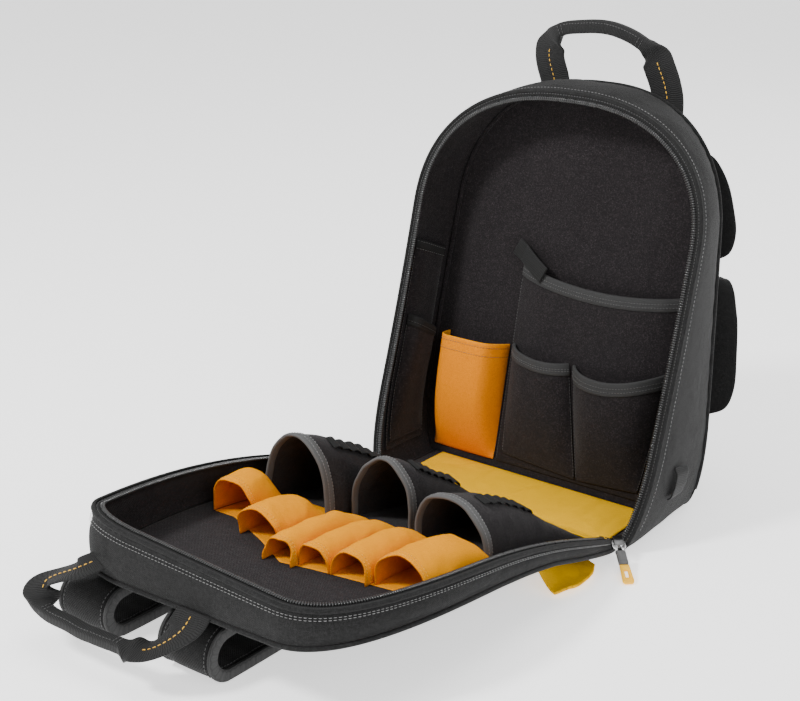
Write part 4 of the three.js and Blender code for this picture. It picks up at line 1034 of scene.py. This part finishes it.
# Tray
def make_tray():
    index = np.linspace(0, last, 460)[None]
    share = np.linspace(0, 1, 30)[:, None]
    grid = tray_wall(index, share, 0)
    normal = grid_normals(grid)
    puckers = 0.3 * np.sin(index * 2.0) * np.exp(-share * 14)
    soft = folds(grid, 55, 71, (0.7, 0.7, 1.2)) * 1.7 + folds(grid, 19, 72) * 0.3
    grid = grid + normal * (soft * eased(grid.shape, 0.2, (1, 1, 0, 0)) + puckers)[..., None]
    cloth = sheet("tray_gusset_cloth", grid, gusset_cloth, outer_cloth, lining_cloth)
    stand_for(cloth, "outer_cloth", "tray_gusset")

    flat = panel_grid(tray_foot)
    x, along = flat[..., 0], flat[..., 1]
    under, top = on_tray_floor(x, along, -panel_cloth), on_tray_floor(x, along, 0)
    cloth = shell("back_cloth", under, top, outer_cloth, lining_cloth, flat / 10)
    stand_for(cloth, "outer_cloth", "back_panel")
    path = on_tray_floor(tray_foot.points[:, 0], tray_foot.points[:, 1], -0.4)
    middle = path.mean(0)
    side = unit((path - middle) * np.array([1, 1, 0]))
    across, face = path_frames(path, face=np.array([0, 0, 1.0]))
    path = path + side * 0.4
    welt = tube("back_welt", path[4:-4], across[4:-4], face[4:-4], 4.2, 4.2, outer_cloth, sides=12, power=2)
    stand_for(welt, "outer_cloth")

    wall_stitches("tray_stitches", tray_wall, 4, 700, (0.13, 0.2))
    wall_stitches("rim_stitches", main_wall, 6, 900, (0.075,))


def wall_stitches(name, wall, margin, count, shares):
    """Rows of pale stitches on a gusset's outer side, each a share of the way down from its rim."""
    index = np.linspace(margin, last - margin, count)
    lines = []
    for share in shares:
        row = wall(index, share, 0)
        face = unit(wall(index, share, -1) - row)
        lines.append(raised(row, face, 0.35))
    sewn(name, lines, thread_pale, "outer_cloth", step=4.2, length=2.8, thick=0.62, lift=0.15)


# Tool sleeves and pouches
def slumped(row, grid, seed, lean, sag, size):
    """A vault's cloth, gone soft: it leans over, its mouth is uneven, and its top sags between its seams."""
    rows, columns = grid.shape[:2]
    share = np.linspace(0, 1, rows)[:, None]
    turn = np.linspace(0, np.pi, columns)[None]
    rise = np.sin(turn) * share ** 2
    around = xyz(0 * rise + turn * 9, 0 * rise + seed * 31, share * 5 + 0 * rise)
    uneven = noise(around, 7, seed) * smoothstep(share + 0 * rise, 0.55, 1)
    grid = grid + xyz(lean * rise, -4.5 * uneven - 2.5 * rise, -row["height"] * 0.07 * (1 + uneven) * rise)
    wave = folds(grid, size, seed, (1, 0.7, 1)) * sag + folds(grid, size * 0.4, seed + 7) * 0.3
    return grid - grid_normals(grid) * (wave * eased(grid.shape, 0.16, (1, 0, 1, 1)))[..., None]


def make_tray_fittings():
    lines = []
    for i, row in enumerate(sleeves):
        lean = (2.5, -2, 1.5, -1, 2, -2.5)[i]
        grid = slumped(row, vault_grid(row, 56), 80 + i, lean, 1.5, 26)
        # The sleeve's inner side gets the deep orange cloth: painted shade inside the sleeve, with orange
        # outside.
        stand_for(sheet(f"sleeve_{i + 1}_cloth", grid, -pocket_cloth, deep_orange_cloth, orange_cloth),
                  "orange_cloth", f"tool_sleeve_{i + 1}")
        normal = -grid_normals(grid)
        step = np.linalg.norm(grid[-1, 28] - grid[-2, 28])
        for back in (2.5, 6.5):
            r = -1 - max(1, round(back / step))
            lines.append(raised(grid[r][2:-2], normal[r][2:-2], pocket_cloth))
        for c in (1, 4, -5, -2):
            low = 1 if c in (1, -2) else 20
            lines.append(raised(grid[low:-2, c], normal[low:-2, c], pocket_cloth))
    sewn("sleeve_stitches", lines, thread_orange, "orange_cloth", step=3.2, length=2.2, thick=0.75)

    x = np.linspace(-148, 150, 140)[None]
    order = sorted(sleeves, key=lambda row: row["centre"])
    edge = np.interp(x, [row["centre"] for row in order], [row["mouth"] - 2 for row in order])
    along = 0.43 * tray_length + (edge - 0.43 * tray_length) * np.linspace(0, 1, 40)[:, None]
    grid = on_tray_floor(x + 0 * along, along, 0.12)
    base = shell("sleeve_base", grid + xyz(0, 0, 1) * 0.3, grid, orange_cloth)
    stand_for(base, "orange_cloth")

    pale = []
    for i, row in enumerate(tool_pouches):
        grid = slumped(row, vault_grid(row, 64), 90 + i, (3.5, 3, -3)[i], 2.4, 44)
        stand_for(sheet(f"tool_pouch_{i + 1}_cloth", grid, -pocket_cloth, lining_cloth, lining_cloth),
                  "lining_cloth", f"tool_pouch_{i + 1}")
        count = rows_within(grid, 8.5)
        top = grid[-count:]
        edge_binding(f"tool_pouch_{i + 1}_tape", top, -1, binding_grey, f"tool_pouch_binding_{i + 1}")
        normal = -grid_normals(grid)
        for k in (0, count - 2):
            pale.append(raised(top[k][1:-1], normal[k - count][1:-1], tape_face))
        make_bit_strip(i, grid)
    sewn("pouch_stitches", pale, thread_pale, "binding_tape", step=3.4, length=2.4, thick=0.75)


def make_bit_strip(i, grid):
    """An elastic band on a pouch's near slope, sewn down at intervals, with empty loops between."""
    loops, places, slope_share = 6, 180, 0.62
    at = np.linspace(0.4, 0.84, places) * (len(grid) - 1)
    column = round(slope_share * (grid.shape[1] - 1))
    place = sample(grid[:, column], at)
    out = unit(sample(-grid_normals(grid)[:, column], at))
    side = unit(np.cross(out, np.gradient(place, axis=0)))
    hump = np.abs(np.sin(np.pi * loops * np.linspace(0, 1, places))) ** 0.8
    path = place + out * (pocket_cloth + 0.9 + 2.6 * hump)[:, None]
    across, face = path_frames(path, face=out)
    band = tube(f"bit_strip_{i + 1}_band", path, across, face, 15.5, 1.2, elastic_black, sides=16, power=6)
    stand_for(band, "webbing", f"bit_strip_{i + 1}")
    lines = []
    for low in np.linspace(0, places - 1, loops + 1)[1:-1].astype(int):
        centre = place[low] + out[low] * (pocket_cloth + 1.6)
        lines.append((np.stack([centre - side[low] * 6.5, centre + side[low] * 6.5]), out[low]))
    sewn(f"bit_strip_{i + 1}_stitches", lines, thread_dark, "webbing", step=2.4, length=1.9, thick=0.7)


# Pouches on the front panel
def make_front_pouches():
    lines = []
    for name, row, seed in (("upper_pouch", upper_pouch, 101), ("lower_pouch", lower_pouch, 102)):
        grid = pocket_grid(row, on_front_face, 0, 1)
        grid = rumpled(grid, 1.2, 45, seed, (1, 1, 0.7), 0.14, (1, 0, 1, 1))
        cloth = sheet(f"{name}_cloth", grid, -pocket_cloth, lining_cloth, outer_cloth)
        stand_for(cloth, "outer_cloth", name)
        count = rows_within(grid, 12)
        top = grid[-count:]
        edge_binding(f"{name}_tape", top, -1, binding_grey, f"{name}_binding")
        normal = -grid_normals(grid)
        lines.append(raised(top[2][2:-2], normal[2 - count][2:-2], tape_face))
        for c in (1, -2):
            lines.append(raised(grid[1:-4, c], normal[1:-4, c], pocket_cloth))
    # A flap's sections: height and reach as shares, and half width
    upper = [(0.862, 0, 0.68), (0.845, 0.38, 0.73), (0.79, 0.7, 0.8), (0.72, 0.9, 0.85), (0.655, 1, 0.87),
             (0.61, 1, 0.84), (0.585, 0.97, 0.74)]
    lower = [(0.57, 0, 0.88), (0.545, 0.48, 0.9), (0.46, 0.82, 0.91), (0.36, 0.98, 0.92), (0.25, 1, 0.93),
             (0.205, 0.98, 0.89), (0.18, 0.95, 0.78)]
    for name, table, reach, seed in (("upper_flap", upper, 44, 111), ("lower_flap", lower, 72, 112)):
        knots = catmull([(h * front_height, out * reach, w * front_half_width) for h, out, w in table], 60)
        side = np.linspace(-1, 1, 90)[None]
        height, out, half = (knots[:, k][:, None] for k in range(3))
        grid = on_front_face(side * half, height + 0 * side, out * (1 - 0.08 * side * side))
        grid = rumpled(grid, 1.4, 42, seed, (1, 1, 0.7), 0.15, (1, 0, 0, 0))
        flap = sheet(f"{name}_cloth", grid, pocket_cloth, outer_cloth, lining_cloth)
        stand_for(flap, "outer_cloth", name)
        normal = grid_normals(grid)
        first = np.sign(normal[30, 45, 1])
        rim_path = np.concatenate([grid[4:-3, 2], grid[-3, 2:-2], grid[4:-3, -3][::-1]])
        rim_face = np.concatenate([normal[4:-3, 2], normal[-3, 2:-2], normal[4:-3, -3][::-1]]) * first
        offset = 0.2 if first < 0 else pocket_cloth + 0.2
        lines.append(raised(rim_path, rim_face, offset))
        lines.append(raised(grid[8, 2:-2], normal[8, 2:-2] * first, offset))
    sewn("front_stitches", lines, thread_pale, "outer_cloth", step=3.8, length=2.8, thick=0.75)


# Handles
def handle_band(name, points, face, node):
    path = catmull(points, 260)
    share = np.linspace(0, 1, len(path))
    grip = smoothstep(np.minimum(share, 1 - share), 0.23, 0.32)
    fold = smoothstep(grip, 0, 0.5) * (1 - smoothstep(grip, 0.5, 1))
    width = 38 + (15 - 38) * grip + 1.2 * fold
    thickness = webbing_cloth + (11 - webbing_cloth) * grip
    across, facing = path_frames(path, face=np.array(face, float))
    turn = (0.35 * fold * np.where(share < 0.5, 1, -1))[:, None]
    cosine, sine = np.cos(turn), np.sin(turn)
    across, facing = across * cosine + facing * sine, facing * cosine - across * sine
    path = path + facing * (0.5 * noise(path, 17, 5))[:, None]
    band = tube(f"{name}_band", path, across, facing, width, thickness, webbing_black, sides=32, power=4.0)
    stand_for(band, "webbing", node)
    lines, cross = [], []
    for sign in (-1, 1):
        for low, high in ((0.015, 0.235), (0.765, 0.985)):
            use = (share > low) & (share < high)
            line = path[use] + facing[use] * (sign * (thickness[use] / 2 + 0.1))[:, None]
            lines.append((line, facing[use] * sign))
    sewn(f"{name}_yellow", lines, thread_yellow, "webbing", step=5.0, length=3.5, thick=1.15)
    for at in (0.33, 0.67):
        k = int(at * len(path))
        for sign in (-1, 1):
            for spot in (k - 2, k + 2):
                centre = path[spot] + facing[spot] * sign * (thickness[spot] / 2 + 0.1)
                half = across[spot] * (width[spot] / 2 - 2)
                cross.append((np.stack([centre - half, centre + half]), facing[spot] * sign))
    edge = (share > 0.34) & (share < 0.66)
    for sign in (-1, 1):
        line = path[edge] + across[edge] * (width[edge] * 0.28)[:, None]
        line = line + facing[edge] * (sign * (thickness[edge] / 2 - 0.1))[:, None]
        cross.append((line, facing[edge] * sign))
    sewn(f"{name}_dark", cross, thread_dark, "webbing", step=3.6, length=2.7, thick=0.75)


def make_handles():
    seat = seam_gap + panel_cloth + rest_gap + webbing_cloth / 2
    shares = [
        (-0.84, -0.55), (-0.87, -0.1), (-0.98, 0.42), (-0.86, 0.76), (-0.42, 0.89), (0, 0.9),
        (0.38, 0.77), (0.66, 0.55), (0.78, 0.3), (0.91, -0.1), (0.93, -0.55),
    ]
    points = []
    for across, up in shares:
        x, z = across * 80, front_height + up * 66
        points.append((x, float(on_front_panel(x, min(z, front_height), seat)[1]), z))
    handle_band("carry_handle", points, (0, 1, 0), "carry_handle")
    shares = [
        (-0.8, 0.08, 0.72), (-0.85, 0.38, 0.68), (-1.0, 0.66, 0.54), (-0.94, 0.9, 0.4), (-0.7, 0.94, 0.36),
        (-0.42, 0.9, 0.34), (-0.17, 0.78, 0.37), (-0.06, 0.46, 0.5), (-0.06, 0.117, 0.62),
    ]
    end = -float(tray_y(tray_length))
    height = float(tray_rim_height(0, tray_length))
    points = [(a * tray_half_width, -(end + out * 58), h * height) for a, out, h in shares]
    handle_band("tray_handle", points, (0, 0, 1), "tray_handle")


# Shoulder straps
def make_straps():
    for k, centre in enumerate((-0.098 * tray_half_width, -0.88 * tray_half_width)):
        places, slopes = [], []
        lie = 1 + 6
        for share in np.linspace(0.66, 0.95, 12):
            under = float(on_tray_floor(np.array(centre), np.array(share * tray_length), -panel_cloth)[2])
            shallow = tray_shallow * tray_depth * np.interp(share, *wall_table)
            slopes.append((shallow - tray_twist * share) / tray_half_width)
            dip = 7 * ((share - 0.66) / 0.29) ** 2
            places.append((float(tray_y(share * tray_length)), under - lie - dip))
        top = places[-1][1]
        turn_y = float(tray_y(tray_length * 0.975))
        middle, radius = (top + 6) / 2, (top - 6) / 2
        for i in range(1, 16):
            turn = math.pi / 2 + math.pi * i / 16
            places.append((turn_y + 22 * math.cos(turn), middle + radius * math.sin(turn)))
            slopes.append(0)
        for share in np.linspace(0.93, 0.24, 20):
            places.append((float(tray_y(share * tray_length)), 6))
            slopes.append(0)
        points = np.array([(centre, y, z) for y, z in places])
        length = np.concatenate([[0], np.cumsum(np.linalg.norm(np.diff(points, axis=0), axis=-1))])
        even = np.linspace(0, length[-1], 200)
        path = np.stack([np.interp(even, length, points[:, i]) for i in range(3)], -1)
        slope = np.interp(even, length, slopes)
        across, face = path_frames(path, across=unit(xyz(1 + 0 * slope, 0, slope)))
        flat = smoothstep(even, 0, 14) * smoothstep(even[-1] - even, 0, 14)
        quilt = 1 + 0.06 * np.sin(even / 22 * 2 * np.pi)
        name = f"shoulder_strap_{k + 1}"
        depth = (5 + 6.6 * flat) * quilt
        pad = tube(f"{name}_pad", path, across, face, 61, depth, strap_cloth, sides=40, power=3.4)
        stand_for(pad, "padded_strap", name)
        lines = []
        for letter, side in (("a", -1), ("b", 1)):
            edge = tube(f"{name}_edge_{letter}", path + across * side * 30.4, across, face,
                        4.8, 5.4 + 6.4 * flat, binding_dark, sides=20, power=3.2)
            stand_for(edge, "padded_strap")
            for sign in (-1, 1):
                line = path + across * side * 25 + face * sign * (depth / 2 * 0.93)[:, None]
                lines.append((line[4:-4], face[4:-4] * sign))
        sewn(f"{name}_stitches", lines, thread_dark, "padded_strap", step=4, length=2.9, thick=0.8)

        start, end = 0.24 * tray_length - rest_gap, hinge_height / 2
        t = np.linspace(0, 1, 60)
        thick = webbing_cloth * 0.6
        path = xyz(centre, tray_y(start + (end - start) * t), thick / 2 + rest_gap * (1 - t) ** 2)
        frames = path_frames(path, face=np.array([0, 0, 1.0]))
        webbing_band(f"strap_web_{k + 1}_band", path, frames, 25, thick, f"strap_web_{k + 1}")
        make_buckle(k, centre)


def rounded_frame(name, outer, inner, low, high, material):
    """A flat frame with rounded corners and edges: outer and inner are (half width, half length, corner)."""
    loops = []
    for (w, l, corner), height in ((outer, low), (outer, high), (inner, high), (inner, low)):
        loop = []
        for cx, cy, begin in ((1, 1, 0), (-1, 1, 90), (-1, -1, 180), (1, -1, 270)):
            for step in range(7):
                turn = math.radians(begin + 15 * step)
                x = cx * (w - corner) + corner * math.cos(turn)
                y = cy * (l - corner) + corner * math.sin(turn)
                loop.append((x, y, height))
        loops.append(loop)
    count = len(loops[0])
    points = np.array([p for loop in loops for p in loop])
    faces = []
    for a in range(4):
        b = (a + 1) % 4
        for i in range(count):
            j = (i + 1) % count
            faces.append((a * count + i, a * count + j, b * count + j, b * count + i))
    return make_object(name, points, outward(points - points.mean(0), faces), [material])


def make_buckle(k, centre):
    half_width, half_length = 12.5 + rest_gap + 5, 10
    low = webbing_cloth * 0.6 + rest_gap + seam_gap
    frame_piece = rounded_frame(f"strap_buckle_{k + 1}_frame", (half_width, half_length, 3), (12.5, 5, 1.2),
                                low, low + 2.5, buckle_black)
    y = float(tray_y(0.24 * tray_length * 0.72))
    frame_piece.data.transform(Matrix.Translation((centre * MM, y * MM, 0)))
    bevelled(frame_piece, 0.7)
    stand_for(frame_piece, "buckle_plastic", f"strap_buckle_{k + 1}")


def bevelled(piece, width, segments=3):
    """Rounds the sharp edges of a hard piece."""
    bevel = piece.modifiers.new("bevel", "BEVEL")
    bevel.width = width * MM
    bevel.segments = segments
    bevel.limit_method = "ANGLE"
    bevel.angle_limit = math.radians(35)
    bevel.harden_normals = True
    apply_modifiers(piece)


def apply_modifiers(piece):
    bpy.ops.object.select_all(action="DESELECT")
    piece.select_set(True)
    bpy.context.view_layer.objects.active = piece
    for modifier in list(piece.modifiers):
        bpy.ops.object.modifier_apply(modifier=modifier.name)


def make_side_loop():
    index = last - float(wall_index_at(np.array(0.4), np.array(78.0)))
    low = last - float(wall_index_at(np.array(0.4), np.array(44.0)))
    down = np.linspace(0, 1, 60)
    out = np.interp(down, [0, 0.15, 0.5, 0.85, 1], [0, 0.8, 1, 0.8, 0])
    out = np.convolve(np.pad(out, 4, mode="edge"), np.ones(9) / 9, "valid")
    stand = wall_gap + webbing_cloth / 2 + out * 2 * webbing_cloth
    path = main_wall(index + (low - index) * down, 0.4, -stand)
    frames = path_frames(path, across=np.array([0, 1.0, 0]))
    webbing_band("side_loop_band", path, frames, 25, 1.9, "side_loop")


# A copy of a CAD node with its doubles merged, to be finished as a new piece
def copy_of(name, node, material, slot):
    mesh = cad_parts[node].data.copy()
    mesh.name = name
    piece = add_object(name, mesh)
    work = bmesh.new()
    work.from_mesh(mesh)
    bmesh.ops.remove_doubles(work, verts=work.verts, dist=0.00002)
    bmesh.ops.dissolve_limit(work, angle_limit=math.radians(1), verts=work.verts, edges=work.edges)
    work.to_mesh(mesh)
    work.free()
    mesh.materials.clear()
    mesh.materials.append(material)
    return stand_for(piece, slot, node)


def make_pull():
    for node, material, slot, width in (
        ("zip_slider", slider_metal, "zip_metal", 1.1), ("zip_pull", pull_rubber, "pull_rubber", 1.3),
        ("pull_tab", pull_yellow, "pull_tab_plastic", 0.8),
    ):
        piece = copy_of(f"{node}_body", node, material, slot)
        bevelled(piece, width, 4)
        for polygon in piece.data.polygons:
            polygon.use_smooth = True
    piece = copy_of("pull_bail_wire", "pull_bail", bail_metal, "zip_metal")
    smooth = piece.modifiers.new("smooth", "SUBSURF")
    smooth.levels = smooth.render_levels = 2
    apply_modifiers(piece)
    for polygon in piece.data.polygons:
        polygon.use_smooth = True


def make_pocket_tab():
    top = tablet_pocket["mouth_left"] + 11
    t = np.linspace(0, 1, 40)
    x = tablet_pocket["left_mouth"] - 11 + t * 46
    z = top + 8 - t * 26
    off = rest_gap + webbing_cloth / 2 + stand_at(tablet_pocket, x, z) + 3 * pocket_cloth
    path = on_divider(x, z, off)
    frames = path_frames(path, face=np.array([0, 1.0, 0]))
    webbing_band("pocket_tab_band", path, frames, 21, 1.9, "pocket_tab")


# Floor and light
def make_stage():
    mesh = bpy.data.meshes.new("floor")
    size = 14
    corners = [(-size, -size, 0), (size, -size, 0), (size, size, 0), (-size, size, 0)]
    mesh.from_pydata(corners, [], [(0, 1, 2, 3)])
    floor = add_object("floor", mesh)
    floor.location = (0, 0, -0.0005)
    n = Nodes("floor_paint")
    paint = n.finish((0.93, 0.93, 0.93, 1), 0.9, Emission_Color=(1, 1, 1, 1), Emission_Strength=1.1)
    mesh.materials.append(paint)
    world = bpy.data.worlds.new("studio")
    bpy.context.scene.world = world
    world.use_nodes = True
    background = world.node_tree.nodes["Background"]
    background.inputs["Color"].default_value = (1, 1, 1, 1)
    background.inputs["Strength"].default_value = 0.62
    for name, place, target, size, power in (
        ("key", (-0.9, -1.9, 2.1), (0, -0.15, 0.15), 0.55, 74),
        ("fill", (2.2, -1.2, 1.4), (0, -0.1, 0.2), 1.8, 24),
        ("top", (0.1, 0.2, 2.6), (0, -0.1, 0.1), 2.0, 26),
        ("rear", (0.5, 2.4, 1.7), (0, 0, 0.3), 1.6, 20),
    ):
        data = bpy.data.lights.new(name, "AREA")
        data.shape = "DISK"
        data.size = size
        data.energy = power
        light = add_object(name, data)
        light.location = place
        aim = Vector(target) - Vector(place)
        light.rotation_euler = aim.to_track_quat("-Z", "Y").to_euler()


make_main_half()
make_zips()
make_floor()
make_pockets()
make_tray()
make_tray_fittings()
make_front_pouches()
make_handles()
make_straps()
make_side_loop()
make_pocket_tab()
make_pull()
make_stage()
